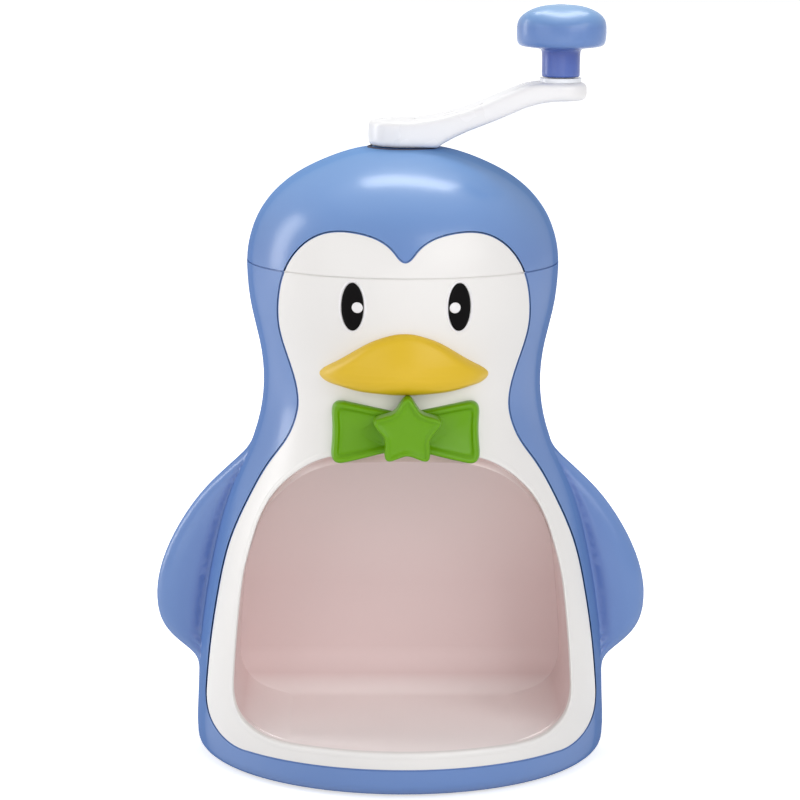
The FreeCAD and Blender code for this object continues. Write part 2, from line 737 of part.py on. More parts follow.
def ice_chamber():
    bore, wall = size("chamber_bore"), size("chamber_wall")
    floor, rim = size("chamber_floor"), size("chamber_rim")
    chamber = tube(bore, bore + wall, floor, rim).fuse(tube(bore, 49, floor, floor + 2.5))
    ribs = [Part.makeBox(2.0, 4.0, rim - 2 - floor, Vector(-1, 0, 0)) for degrees in range(0, 360, 45)]
    for index, rib in enumerate(ribs):
        rib.Placement = Placement(around(bore + 0.6, 22.5 + 45 * index, floor),
                                  Rotation(Vector(0, 0, 1), 22.5 + 45 * index - 90))
    chamber = chamber.fuse([rib.common(tube(bore + 0.5, bore + wall + 0.6, floor, rim)) for rib in ribs])
    for degrees in FLANGE_SCREWS:
        place = around(FLANGE_SCREW_RADIUS, degrees)
        chamber = chamber.cut(rod(1.6, floor - 1, floor + 4, place.x, place.y))
    return chamber.removeSplitter()


PRESS_HUB_RISE = 13
SPRING_TOP = 221.0


def spring():
    """Coil spring between the press and the head, each half turn tilted so that its ends meet the next."""
    low, high = size("press_level") + PRESS_HUB_RISE, SPRING_TOP
    wire, radius = size("spring_wire") / 2, size("spring_radius")
    half_rise = (high - low - 2 * wire) / size("spring_turns") / 2
    tilt = math.degrees(math.atan2(half_rise / 2, radius))
    halves = []
    for index in range(2 * int(size("spring_turns"))):
        half = Part.makeTorus(math.hypot(radius, half_rise / 2), wire, Vector(), Vector(0, 0, 1),
                              -180, 180, 180)
        half.rotate(Vector(), Vector(0, 0, 1), 180 * (index % 2))
        half.rotate(Vector(), Vector(0, 1, 0), tilt if index % 2 == 0 else -tilt)
        half.translate(Vector(0, 0, low + wire + half_rise * (index + 0.5)))
        halves.append(half)
    return halves[0].multiFuse(halves[1:])


# ---------------------------------------------------------------- crank arm

def crank_arm():
    """S-shaped flat arm: its side view crossed with its plan."""
    hub, end = size("hub_radius"), size("arm_end_radius")
    reach, seat, top = size("crank_radius"), size("arm_seat"), size("hub_top")
    foot = size("dome_level") + 0.3
    tangent = math.asin((hub - end) / reach)
    plan_points = [Vector(hub * math.sin(tangent), hub * math.cos(tangent), 0),
                   Vector(reach + end * math.sin(tangent), end * math.cos(tangent), 0)]
    near = [Vector(point.x, -point.y, 0) for point in plan_points]
    plan = Part.Wire([Part.makeLine(plan_points[0], plan_points[1]),
                      Part.Arc(plan_points[1], Vector(reach + end, 0, 0), near[1]).toShape(),
                      Part.makeLine(near[1], near[0]),
                      Part.Arc(near[0], Vector(-hub, 0, 0), plan_points[0]).toShape()])
    blank = Part.Face(plan).extrude(Vector(0, 0, 300))
    upper = Part.BSplineCurve()
    upper.interpolate(Points=[Vector(2, 0, top), Vector(11, 0, top + 1.2), Vector(22, 0, top + 3.9),
                              Vector(33, 0, top + 8.1), Vector(42, 0, top + 12.0), Vector(51, 0, seat - 0.1)],
                      InitialTangent=Vector(1, 0, 0.02), FinalTangent=Vector(1, 0, 0))
    start = hub + 0.2
    lower = Part.BSplineCurve()
    lower.interpolate(Points=[Vector(start, 0, foot + 0.8), Vector(20, 0, foot + 4.2),
                              Vector(29.5, 0, foot + 8.1), Vector(41, 0, foot + 12.7),
                              Vector(52, 0, seat - 7.9), Vector(60, 0, seat - 7.1)])
    upper_end, lower_end = upper.EndPoint, lower.EndPoint
    corners = [upper_end, Vector(reach + end + 2, 0, seat - 0.1), Vector(reach + end + 2, 0, seat - 7.0),
               lower_end]
    left = [lower.StartPoint, Vector(start, 0, foot), Vector(-hub - 2, 0, foot), Vector(-hub - 2, 0, top),
            Vector(2, 0, top)]
    edges = [upper.toShape()] + [Part.makeLine(corners[i], corners[i + 1]) for i in range(3)]
    edges += [lower.toShape()] + [Part.makeLine(left[i], left[i + 1]) for i in range(4)]
    side = Part.Face(Part.Wire(Part.sortEdges(edges)[0]))
    side.translate(Vector(0, -40, 0))
    arm = blank.common(side.extrude(Vector(0, 80, 0)))
    arm = arm.fuse(rod(hub, foot, top - 3)).removeSplitter()
    half = (size("shaft_square") + 0.1) / 2
    arm = arm.cut(Part.makeBox(2 * half, 2 * half, 4.2, Vector(-half, -half, foot - 0.1)))
    arm = arm.cut(rod(2.1, foot, top + 1))
    arm = arm.cut(rod(4.6, top - 3.6, top + 1))
    arm = arm.cut(rod(2.6, seat - 12, seat + 1, reach))
    return arm.cut(rod(4.5, seat - 12, seat - 4.4, reach)).removeSplitter()


# ================================================================ the pieces

front_shell, rear_shell = body_shells()
free("body_front_shell", front_shell)
free("body_rear_shell", rear_shell)
free("front_panel", front_panel())
free("brow_panel", brow_panel())
free("head_dome", head_dome())
free("bay_liner", bay_liner())
free("beak", beak())
free("bow_tie", bow_tie())
free("bow_star", bow_star())
for side, label in ((-1, "eye_left"), (1, "eye_right")):
    free(label, eye_block(side).cut(glint_block(side)))
free("eye_glints", Part.makeCompound([glint_block(-1), glint_block(1)]))
free("ice_chamber", ice_chamber())
free("blade_plate", blade_plate())

blade_shape = blade_solid()
for x in BLADE_SCREW_X:
    blade_shape = blade_shape.cut(Part.makeCylinder(1.4, 4, Vector(x, BLADE_SCREW_Y, -3)))
blade_shape.Placement = blade_place()
free("blade", blade_shape)

# base plate: a disc on the shell's inward foot, drilled for four screws
base = doc.addObject("PartDesign::Body", "base_plate")
base_level = dim("foot_drop") + dim("wall")
pad(base, circle_sketch(base, dim("base_radius") - 3.6, lift=base_level), 2.5)
for index, (x, y) in enumerate(LINER_POSTS):
    pocket(base, circle_sketch(base, 1.6, (x, y), lift=base_level + 3), 4)
hole = pocket(base, circle_sketch(base, 3.0, (0, 60), lift=base_level + 3), 4)
ringed(base, hole, 4)
doc.recompute()
node(base, "base_plate")

foot = turned("foot_pattern", [(0, 0), (6.2, 0), (7, 0.8), (7, base_level), (2.95, base_level),
                               (2.95, base_level + 2.5), (3.7, base_level + 2.5), (2.6, base_level + 4.6),
                               (0, base_level + 4.6)])
group("rubber_feet", foot, [Placement(around(60, 90 * index), Rotation()) for index in range(4)])

down = Rotation(Vector(1, 0, 0), 180)
base_screw = screw("base_screw_pattern", 3.2, 1.7, 1.25, 11)
group("base_screws", base_screw,
      [Placement(Vector(x, y, base_level.number), down) for x, y in LINER_POSTS])
flange_screw = screw("flange_screw_pattern", 2.3, 1.6, 1.25, 15)
group("chamber_screws", flange_screw,
      [Placement(around(FLANGE_SCREW_RADIUS, degrees, size("chamber_floor") + 2.5), Rotation())
       for degrees in FLANGE_SCREWS])
head_screw = screw("head_screw_pattern", 2.9, 1.8, 1.25, 12)
group("head_screws", head_screw, [Placement(around(50, degrees, 193.2), down) for degrees in HEAD_BOSSES])
shell_screw = screw("shell_screw_pattern", 3.0, 2.0, 1.25, 17)
towards_rear = Rotation(Vector(1, 0, 0), -90)
group("shell_screws", shell_screw,
      [Placement(Vector(side * x, 9, z), towards_rear) for x, z in BOSSES for side in (-1, 1)])
blade_screw = screw("blade_screw_pattern", 2.3, 1.2, 1.15, 3.6)
group("blade_screws", blade_screw,
      [blade_place().multiply(Placement(Vector(x, BLADE_SCREW_Y, -1.2), down)) for x in BLADE_SCREW_X])

# inner lid of the head: plate, skirt into the body's mouth, skirt around the ice chamber
lid_low = dim("seam_level") + 0.7
chamber_out = dim("chamber_bore") + dim("chamber_wall")
lid = turned("head_inner", [(chamber_out + 0.8, lid_low - 12), (chamber_out + 2.6, lid_low - 12),
                            (chamber_out + 2.6, lid_low), (53.4, lid_low), (53.4, lid_low - 5.5),
                            (55.2, lid_low - 5.5), (55.2, lid_low), (55.6, lid_low), (55.6, 195),
                            (chamber_out + 0.8, 195)])
for degrees in HEAD_BOSSES:
    place = around(50, degrees)
    pocket(lid, circle_sketch(lid, 1.6, (place.x, place.y), lift=197), 6)
doc.recompute()
node(lid, "head_inner")

# crank shaft: square below and above the round journal, collar under the bush
journal_top = dim("dome_level") + 0.2
shaft = turned("drive_shaft", [(0, 203), (8.0, 203), (8.0, 205), (dim("journal_radius"), 205),
                               (dim("journal_radius"), journal_top), (0, journal_top)])
pad(shaft, closed_sketch(shaft, "XY_Plane", square_corners(dim("shaft_square")), lift=dim("press_level")),
    as_dim(204) - dim("press_level"))
pad(shaft, closed_sketch(shaft, "XY_Plane", square_corners(dim("shaft_square")), lift=236), 4.2)
pocket(shaft, circle_sketch(shaft, 1.65, lift=240.2), 12)
pocket(shaft, circle_sketch(shaft, 1.65, lift=dim("press_level")), 10, reverse=True)
node(shaft, "drive_shaft")

bush = turned("shaft_bush", [(dim("journal_radius") + dim("running_gap"), 205.3), (11, 205.3), (11, 206),
                             (dim("bush_radius"), 206), (dim("bush_radius"), 235.9),
                             (dim("journal_radius") + dim("running_gap"), 235.9)])
node(bush, "shaft_bush")
node(turned("spring_washer", [(12.3, 221.1), (17, 221.1), (17, 222.6), (12.3, 222.6)]), "spring_washer")

# ice press: disc with ribs and a hub on the square shaft, which carries the spring; spikes under it
press_low = dim("press_level")
press_top = press_low + 4
hub_top = press_low + PRESS_HUB_RISE
press = turned("ice_press", [(0, press_low), (dim("press_radius"), press_low),
                             (dim("press_radius"), press_top),
                             (dim("press_hub_radius"), press_top), (dim("press_hub_radius"), hub_top),
                             (0, hub_top)])
pocket(press, closed_sketch(press, "XY_Plane", square_corners(dim("shaft_square") + 0.14), lift=hub_top),
       PRESS_HUB_RISE)
rib_sketch = closed_sketch(press, "XY_Plane", [(-1.2, 15), (1.2, 15), (1.2, 36), (-1.2, 36)], lift=press_top)
ringed(press, pad(press, rib_sketch, 5), 6)
doc.recompute()
node(press, "ice_press")

spike = turned("spike_pattern", [(0, press_low - 6.6), (0.5, press_low - 6.6), (2.0, press_low - 1.4),
                                 (2.0, press_low), (0, press_low)])
group("press_spikes", spike,
      [Placement(around(ring, 360.0 * index / count + 20, 0), Rotation())
       for ring, count in ((18, 5), (32, 9)) for index in range(count)])
free("press_spring", spring())

washer_low = dim("press_level") - 1.2
node(turned("shaft_end_washer", [(1.9, washer_low), (8.5, washer_low), (8.5, washer_low + 1.2),
                                 (1.9, washer_low + 1.2)]), "shaft_end_washer")
end_screw = screw("end_screw_pattern", 3.4, 2.0, 1.6, 10)
group("shaft_end_screw", end_screw, [Placement(Vector(0, 0, washer_low.number), down)])

free("crank_arm", crank_arm())
crank_screw = screw("crank_screw_pattern", 3.7, 2.2, 1.6, 12)
group("crank_screw", crank_screw, [Placement(Vector(0, 0, size("hub_top") - 3.6), Rotation())])
node(turned("crank_cap", [(0, dim("hub_top") - 1.2), (4.55, dim("hub_top") - 1.2), (4.55, dim("hub_top")),
                          (0, dim("hub_top"))]), "crank_cap")

# knob on its spindle at the end of the arm
knob_axis = dim("crank_radius")
seat = dim("arm_seat")
spindle_radius = 5.0
spindle_flange = dim("cap_level") + 4.0
node(turned("knob_collar", [(spindle_radius + 0.2, seat - 0.1), (8.0, seat - 0.1), (8.0, seat + 1.6),
                            (spindle_radius + 0.2, seat + 1.6)], knob_axis), "knob_collar")
spindle = turned("knob_spindle", [(1.65, seat - 0.1), (spindle_radius, seat - 0.1),
                                  (spindle_radius, spindle_flange + 0.4), (7.2, spindle_flange + 0.4),
                                  (7.2, spindle_flange + 2.2), (1.65, spindle_flange + 2.2)], knob_axis)
node(spindle, "knob_spindle")
knob_screw = screw("knob_screw_pattern", 4.1, 2.2, 1.6, 22)
group("knob_screw", knob_screw, [Placement(Vector(knob_axis.number, 0, seat.number - 4.4), down)])

cap, top = dim("cap_radius"), dim("knob_top")
stem = dim("stem_radius")
bore_radius = dim("running_gap") + spindle_radius
knob = turned("knob", [(bore_radius, dim("stem_level")), (stem, dim("stem_level")),
                       (stem, dim("cap_level") - 1.4), (stem + 0.6, dim("cap_level") - 0.4),
                       (stem + 2.6, dim("cap_level") + 0.2), (cap - 1.6, dim("cap_level") + 0.9),
                       (cap - 0.3, dim("cap_level") + 2.0), (cap, dim("cap_level") + 4.0),
                       (cap - 0.1, dim("cap_level") + 7.2), (cap - 0.5, dim("cap_level") + 9.4),
                       (cap - 1.8, dim("cap_level") + 11.2), (13.2, top - 2.4), (13.2, top - 4.0),
                       (8.0, top - 4.0), (8.0, spindle_flange), (bore_radius, spindle_flange)], knob_axis)
node(knob, "knob")
node(turned("knob_cap", [(0, top - 3.8), (13.1, top - 3.8), (13.1, top - 2.4), (10.5, top - 1.2),
                         (7, top - 0.4), (3.5, top - 0.05), (0, top)], knob_axis), "knob_cap")

# ================================================================ check and write

doc.recompute()
for item in doc.Objects:
    if "Invalid" in item.State or "Error" in item.State:
        raise RuntimeError("%s failed: %s" % (item.Name, item.State))
for item in nodes:
    if item.Shape.isNull() or not item.Shape.isValid():
        raise RuntimeError("%s has no valid shape" % item.Label)
os.makedirs("parts", exist_ok=True)
for item in nodes:
    item.Shape.exportStep(os.path.join("parts", item.Label + ".step"))
print("pieces:", len(nodes))
for item in nodes:
    box = item.Shape.BoundBox
    print("%-18s solids %d  volume %9.1f  z %.2f..%.2f  x %.1f..%.1f  y %.1f..%.1f" % (
        item.Label, len(item.Shape.Solids), item.Shape.Volume, box.ZMin, box.ZMax,
        box.XMin, box.XMax, box.YMin, box.YMax))
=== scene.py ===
import json
import math

import bmesh
import bpy
import numpy as np
from mathutils import Matrix, Vector
from mathutils.bvhtree import BVHTree


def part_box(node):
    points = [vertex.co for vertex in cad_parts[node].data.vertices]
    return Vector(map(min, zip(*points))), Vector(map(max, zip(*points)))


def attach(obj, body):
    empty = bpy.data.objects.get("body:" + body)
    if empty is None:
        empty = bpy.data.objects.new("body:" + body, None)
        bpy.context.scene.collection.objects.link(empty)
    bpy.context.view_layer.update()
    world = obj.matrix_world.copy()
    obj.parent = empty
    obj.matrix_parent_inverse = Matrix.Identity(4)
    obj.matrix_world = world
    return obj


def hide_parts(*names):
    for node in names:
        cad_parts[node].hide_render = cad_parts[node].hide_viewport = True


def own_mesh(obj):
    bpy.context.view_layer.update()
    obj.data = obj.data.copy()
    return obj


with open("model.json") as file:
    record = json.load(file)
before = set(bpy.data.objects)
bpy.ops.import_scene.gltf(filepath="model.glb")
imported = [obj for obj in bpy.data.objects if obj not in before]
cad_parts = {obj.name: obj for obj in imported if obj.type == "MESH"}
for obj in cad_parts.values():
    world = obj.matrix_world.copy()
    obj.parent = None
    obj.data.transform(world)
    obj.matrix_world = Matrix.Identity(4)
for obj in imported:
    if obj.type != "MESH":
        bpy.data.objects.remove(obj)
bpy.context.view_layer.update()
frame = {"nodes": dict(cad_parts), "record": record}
nodes = frame["nodes"]
MM = 0.001


# ---------------------------------------------------------------- colours

def srgb(red, green, blue):
    """Linear colour from 8-bit display values."""
    out = []
    for value in (red, green, blue):
        share = value / 255
        out.append(share / 12.92 if share <= 0.04045 else ((share + 0.055) / 1.055) ** 2.4)
    return (*out, 1.0)


# ---------------------------------------------------------------- node helpers

class Shader:
    """A material's node tree, with short calls for the nodes that this scene needs."""

    def __init__(self, name):
        self.material = bpy.data.materials.new(name)
        self.material.use_nodes = True
        self.tree = self.material.node_tree
        self.tree.nodes.clear()
        self.output = self.tree.nodes.new("ShaderNodeOutputMaterial")
        self.place = self.new("ShaderNodeTexCoord").outputs["Object"]

    def new(self, kind, **settings):
        made = self.tree.nodes.new(kind)
        for key, value in settings.items():
            setattr(made, key, value)
        return made

    def link(self, source, target):
        self.tree.links.new(source, target)

    def noise(self, scale, detail=3.0, roughness=0.55, stretch=None):
        made = self.new("ShaderNodeTexNoise")
        made.inputs["Scale"].default_value = scale
        made.inputs["Detail"].default_value = detail
        made.inputs["Roughness"].default_value = roughness
        place = self.place
        if stretch:
            mapping = self.new("ShaderNodeMapping")
            mapping.inputs["Scale"].default_value = stretch
            self.link(place, mapping.inputs["Vector"])
            place = mapping.outputs["Vector"]
        self.link(place, made.inputs["Vector"])
        return made.outputs["Fac"]

    def spread(self, source, low, high, start=0.3, end=0.7):
        made = self.new("ShaderNodeMapRange")
        made.inputs["From Min"].default_value = start
        made.inputs["From Max"].default_value = end
        made.inputs["To Min"].default_value = low
        made.inputs["To Max"].default_value = high
        self.link(source, made.inputs["Value"])
        return made.outputs["Result"]

    def mix(self, factor, first, second):
        made = self.new("ShaderNodeMix", data_type="RGBA")
        self.link(factor, made.inputs["Factor"])
        for socket, colour in ((made.inputs[6], first), (made.inputs[7], second)):
            if isinstance(colour, tuple):
                socket.default_value = colour
            else:
                self.link(colour, socket)
        return made.outputs[2]

    def bump(self, height, distance, strength=1.0, under=None):
        made = self.new("ShaderNodeBump")
        made.inputs["Strength"].default_value = strength
        made.inputs["Distance"].default_value = distance
        self.link(height, made.inputs["Height"])
        if under is not None:
            self.link(under, made.inputs["Normal"])
        return made.outputs["Normal"]


def tone(colour, share):
    """The colour made lighter or darker."""
    return tuple(min(1.0, value * share) for value in colour[:3]) + (1.0,)


CREASE_SHADE_REACH = 0.016            # how far the shader looks for a crease to paint shade into, in metres
CREASE_SHADE_RANGE = (0.45, 0.95)     # openness at which the painted crease shade is darkest, and at which the colour is plain
TURNED_RANGE = (0.35, 0.75)   # how far the surface turns away while its gloss fades
SKIN_GRAIN = 0.00001
EDGE_RADIUS = 0.0004


def plastic(name, colour, roughness=0.3, wander=0.03, coat=0.0, level=0.5, painted_crease_shade=None, painted_light_levels=(),
            dull_edge=False):
    """Moulded plastic: faint flow shades, uneven gloss, a fine moulded skin and softened edges.

    Given crease shares, painted shade darkens the colour by those shares where the surface folds in
    on itself. Each level colour takes over between two levels, in metres, as painted light and
    shade by height. With `dull_edge`, the gloss fades where the surface turns away, so that no white
    veil lies along the outline.
    """
    shader = Shader(name)
    surface = shader.new("ShaderNodeBsdfPrincipled")
    flow = shader.noise(9.0, 3.0)
    shade = shader.mix(shader.spread(flow, 0.0, 1.0), tone(colour, 1 - wander), tone(colour, 1 + wander))
    # painted light and shade: colours that take over by height
    if painted_light_levels:
        height = shader.new("ShaderNodeSeparateXYZ")
        shader.link(shader.place, height.inputs[0])
    for start, end, other in painted_light_levels:
        shade = shader.mix(shader.spread(height.outputs["Z"], 0.0, 1.0, start, end), shade, other)
    # painted shade: the colour darkens where ambient occlusion finds the surface turning in on itself
    if painted_crease_shade:
        open_air = shader.new("ShaderNodeAmbientOcclusion", samples=6, only_local=True)
        open_air.inputs["Distance"].default_value = CREASE_SHADE_REACH
        crease_shade_colour = tuple(value * share for value, share in zip(colour[:3], painted_crease_shade)) + (1.0,)
        shade = shader.mix(shader.spread(open_air.outputs["AO"], 0.0, 1.0, *CREASE_SHADE_RANGE), crease_shade_colour, shade)
    shader.link(shade, surface.inputs["Base Color"])
    cloud = shader.noise(40.0, 3.0, 0.5)
    shader.link(shader.spread(cloud, roughness * 0.93, roughness * 1.08), surface.inputs["Roughness"])
    rounded = shader.new("ShaderNodeBevel", samples=6)
    rounded.inputs["Radius"].default_value = EDGE_RADIUS
    normal = shader.bump(shader.noise(1500.0, 2.0), SKIN_GRAIN, 0.35, rounded.outputs["Normal"])
    shader.link(normal, surface.inputs["Normal"])
    surface.inputs["Coat Weight"].default_value = coat
    surface.inputs["Coat Roughness"].default_value = 0.2
    surface.inputs["IOR"].default_value = 1.5
    surface.inputs["Specular IOR Level"].default_value = level
    if dull_edge:
        turned = shader.new("ShaderNodeLayerWeight").outputs["Facing"]
        less_coat = shader.spread(turned, coat, coat * 0.1, *TURNED_RANGE)
        less_gloss = shader.spread(turned, level, 0.0, *TURNED_RANGE)
        shader.link(less_coat, surface.inputs["Coat Weight"])
        shader.link(less_gloss, surface.inputs["Specular IOR Level"])
    shader.link(surface.outputs["BSDF"], shader.output.inputs["Surface"])
    return shader.material


def metal(name, colour, roughness=0.3, stretch=(1.0, 1.0, 40.0)):
    """Brushed metal: streaks in colour, gloss and bump."""
    shader = Shader(name)
    surface = shader.new("ShaderNodeBsdfPrincipled")
    streaks = shader.noise(60.0, 5.0, 0.6, stretch)
    shade = shader.mix(shader.spread(streaks, 0.0, 1.0), tone(colour, 0.86), tone(colour, 1.1))
    shader.link(shade, surface.inputs["Base Color"])
    shader.link(shader.spread(streaks, roughness * 0.7, roughness * 1.3), surface.inputs["Roughness"])
    shader.link(shader.bump(streaks, 0.00003, 0.5), surface.inputs["Normal"])
    surface.inputs["Metallic"].default_value = 1.0
    shader.link(surface.outputs["BSDF"], shader.output.inputs["Surface"])
    return shader.material


def rubber(name, colour):
    """Matt rubber with a fine grain."""
    shader = Shader(name)
    surface = shader.new("ShaderNodeBsdfPrincipled")
    cloud = shader.noise(120.0, 4.0)
    shade = shader.mix(shader.spread(cloud, 0.0, 1.0), tone(colour, 0.8), tone(colour, 1.25))
    shader.link(shade, surface.inputs["Base Color"])
    shader.link(shader.spread(cloud, 0.62, 0.82), surface.inputs["Roughness"])
    shader.link(shader.bump(shader.noise(900.0, 3.0), 0.00006, 0.7), surface.inputs["Normal"])
    shader.link(surface.outputs["BSDF"], shader.output.inputs["Surface"])
    return shader.material


BLUE = srgb(101, 133, 189)
WHITE = srgb(233, 230, 227)

MATERIALS = {
    # painted sheen: the lighter blue rising over the dome from 198 to 236 mm; painted shade in the creases
    "shell_blue": plastic("blue_shell", BLUE, 0.38, 0.02, 0.6, level=0.2,
                          painted_crease_shade=(0.84, 0.78, 0.92), painted_light_levels=((0.198, 0.236, srgb(116, 155, 206)),),
                          dull_edge=True),
    "face_white": plastic("white_face", WHITE, 0.36, 0.008),
    # painted shade by height: near-white floor, darker walls from 18 mm, lighter from 60 to 105 mm, darker
    # under the ceiling from 118 mm
    "bay_white": plastic("bay_plastic", srgb(253, 245, 243), 0.42, 0.015,
                         painted_light_levels=((0.0178, 0.024, srgb(222, 200, 198)), (0.06, 0.105, srgb(236, 220, 217)),
                                 (0.118, 0.1235, srgb(218, 192, 188)))),
    "beak_yellow": plastic("yellow_beak", srgb(219, 181, 34), 0.38, 0.02, level=0.35),
    "bow_green": plastic("green_bow", srgb(102, 158, 4), 0.3, 0.025, level=0.2),
    "eye_black": plastic("black_eye", srgb(5, 3, 4), 0.3, 0.05, level=0.06),
    "glint_white": plastic("white_glint", srgb(236, 233, 234), 0.3, 0.01),
    "arm_white": plastic("white_arm", srgb(239, 237, 237), 0.28, 0.008),
    # painted shadow: the dark base blue is the stem's shade under the grip; the knob's blue takes over from
    # 272.5 mm; the lighter blue from 282 mm is a painted highlight on the top; painted shade in the creases
    "knob_blue": plastic("blue_knob", srgb(80, 104, 174), 0.4, 0.02, 0.4, level=0.25, painted_crease_shade=(0.42, 0.4, 0.7),
                         painted_light_levels=((0.2725, 0.275, srgb(100, 132, 189)), (0.282, 0.29, srgb(126, 168, 210)))),
    "collar_clear": plastic("milky_collar", srgb(232, 234, 238), 0.2, 0.02, 0.2),
    "inner_white": plastic("inner_plastic", srgb(226, 224, 221), 0.45, 0.02),
    "ice_clear": plastic("chamber_plastic", srgb(218, 224, 230), 0.2, 0.02, 0.2),
    "steel": metal("brushed_steel", srgb(196, 197, 200)),
    "spring_steel": metal("spring_wire", srgb(176, 176, 180), 0.28, (8.0, 8.0, 60.0)),
    "screw_steel": metal("screw_zinc", srgb(190, 191, 194), 0.32, (12.0, 12.0, 12.0)),
    "rubber_grey": rubber("rubber_foot", srgb(58, 60, 80)),
}


def dress(node_name, slot_name):
    """Puts the slot's material on a CAD node."""
    piece = nodes[node_name]
    piece.data.materials.clear()
    piece.data.materials.append(MATERIALS[slot_name])


for part in frame["record"]["subparts"]:
    dress(part["node"], part["material_slot"])

# ---------------------------------------------------------------- the turned body, as the pieces need it

PROBED_LEVELS = range(2, 235)
PROBE_START = (0.004, 0.3)    # metres: beside the middle plane and well behind the shells
LEAST_RADIUS = 20.0           # a ray that finds less has missed the shells


def clamped(share):
    return min(1.0, max(0.0, share))


def between(table, place):
    """Value at a place in a table of rising places, straight between its rows."""
    low = table[0]
    for high in table:
        if high[0] >= place:
            break
        low = high
    if high[0] <= low[0]:
        return low[1]
    return low[1] + (high[1] - low[1]) * clamped((place - low[0]) / (high[0] - low[0]))


def turned_levels():
    """Radius of the body and head at every millimetre, felt from behind where nothing stands out."""
    shells = [BVHTree.FromPolygons([vert.co for vert in nodes[name].data.vertices],
                                   [tuple(face.vertices) for face in nodes[name].data.polygons])
              for name in ("body_rear_shell", "head_dome")]
    found = []
    for level in PROBED_LEVELS:
        start = Vector((*PROBE_START, level * MM))
        hits = [tree.ray_cast(start, Vector((0, -1, 0)))[0] for tree in shells]
        reach = [math.hypot(hit.x, hit.y) / MM for hit in hits if hit is not None and hit.y > 0]
        found.append((level, max(reach, default=0.0)))
    return [row for row in found if row[1] > LEAST_RADIUS]


LEVELS = turned_levels()


def turned_radius(level):
    """Radius of the body or head at a level, in millimetres."""
    return between(LEVELS, level)


def on_body(x, level, rise=0.0):
    """Point of the body's front at a half width and a level, raised along the radius; millimetres."""
    radius = turned_radius(level) + rise
    return Vector((x, -math.sqrt(max(radius * radius - x * x, 0.01)), level))


def body_normal(point):
    """Outward direction of the turned body at one of its points."""
    reach = 1.5
    slope = (turned_radius(point.z + reach) - turned_radius(point.z - reach)) / (2 * reach)
    radius = math.hypot(point.x, point.y)
    return Vector((point.x / radius, point.y / radius, -slope)).normalized()


# ---------------------------------------------------------------- curves and skins

def through(points, start, end, count):
    """Smooth curve through flat points with given end directions, as evenly stepped points."""
    knots = np.array(points, dtype=float)
    gaps = np.hypot(*(knots[1:] - knots[:-1]).T)
    size = len(knots)
    matrix = np.zeros((size, size))
    wanted = np.zeros((size, 2))
    matrix[0, 0] = matrix[-1, -1] = 1.0
    wanted[0] = start
    wanted[-1] = end
    for row in range(1, size - 1):
        before, after = gaps[row - 1], gaps[row]
        matrix[row, row - 1:row + 2] = 1 / before, 2 * (1 / before + 1 / after), 1 / after
        wanted[row] = 3 * ((knots[row] - knots[row - 1]) / before ** 2
                           + (knots[row + 1] - knots[row]) / after ** 2)
    slopes = np.linalg.solve(matrix, wanted)
    along = np.concatenate([[0.0], np.cumsum(gaps)])
    out = []
    for place in np.linspace(0.0, along[-1], count):
        row = min(int(np.searchsorted(along, place, side="right")) - 1, size - 2)
        gap = gaps[row]
        t = (place - along[row]) / gap
        out.append((2 * t ** 3 - 3 * t ** 2 + 1) * knots[row]
                   + (t ** 3 - 2 * t ** 2 + t) * gap * slopes[row]
                   + (3 * t ** 2 - 2 * t ** 3) * knots[row + 1]
                   + (t ** 3 - t ** 2) * gap * slopes[row + 1])
    return [(float(x), float(z)) for x, z in out]


def rounded_loop(points, cut, steps=6):
    """Closed polygon with its corners turned into arcs that start `cut` before each corner."""
    out = []
    count = len(points)
    for index, corner in enumerate(points):
        corner = Vector(corner)
        reach = cut[index % len(cut)]
        before = Vector(points[index - 1]) - corner
        after = Vector(points[(index + 1) % count]) - corner
        start = corner + before.normalized() * min(reach, before.length * 0.49)
        end = corner + after.normalized() * min(reach, after.length * 0.49)
        for step in range(steps + 1):
            t = step / steps
            out.append((1 - t) ** 2 * start + 2 * t * (1 - t) * corner + t * t * end)
    return out


def offset_loop(points, inset):
    """Closed flat loop moved inwards; its points run clockwise or the other way round."""
    count = len(points)
    area = sum(points[k - 1].x * points[k].y - points[k].x * points[k - 1].y for k in range(count))
    side = 1.0 if area > 0 else -1.0
    out = []
    for k in range(count):
        along = (points[(k + 1) % count] - points[k - 1]).normalized()
        out.append(points[k] + Vector((-along.y, along.x)) * inset * side)
    return out


def add_piece(name, points, faces, body, slot, replaced=(), levels=1):
    """Finished mesh piece in millimetres: smooth, subdivided, riding on its body."""
    mesh = bpy.data.meshes.new(name)
    mesh.from_pydata([Vector(point) * MM for point in points], [], faces)
    work = bmesh.new()
    work.from_mesh(mesh)
    bmesh.ops.remove_doubles(work, verts=work.verts, dist=0.00002)
    bmesh.ops.recalc_face_normals(work, faces=work.faces)
    work.to_mesh(mesh)
    work.free()
    mesh.polygons.foreach_set("use_smooth", [True] * len(mesh.polygons))
    mesh.materials.append(MATERIALS[slot])
    piece = bpy.data.objects.new(name, mesh)
    bpy.context.scene.collection.objects.link(piece)
    if levels:
        rounding = piece.modifiers.new("rounding", "SUBSURF")
        rounding.levels = rounding.render_levels = levels
    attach(piece, body)
    if replaced:
        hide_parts(*replaced)
    return piece


def skin(rings, path_closed=False):
    """Faces between closed rings of equal count, whose points are numbered one ring after the other."""
    count = len(rings[0])
    faces = []
    for row in range(len(rings) - (0 if path_closed else 1)):
        following = (row + 1) % len(rings)
        for k in range(count):
            step = (k + 1) % count
            faces.append((row * count + k, row * count + step,
                          following * count + step, following * count + k))
    return faces


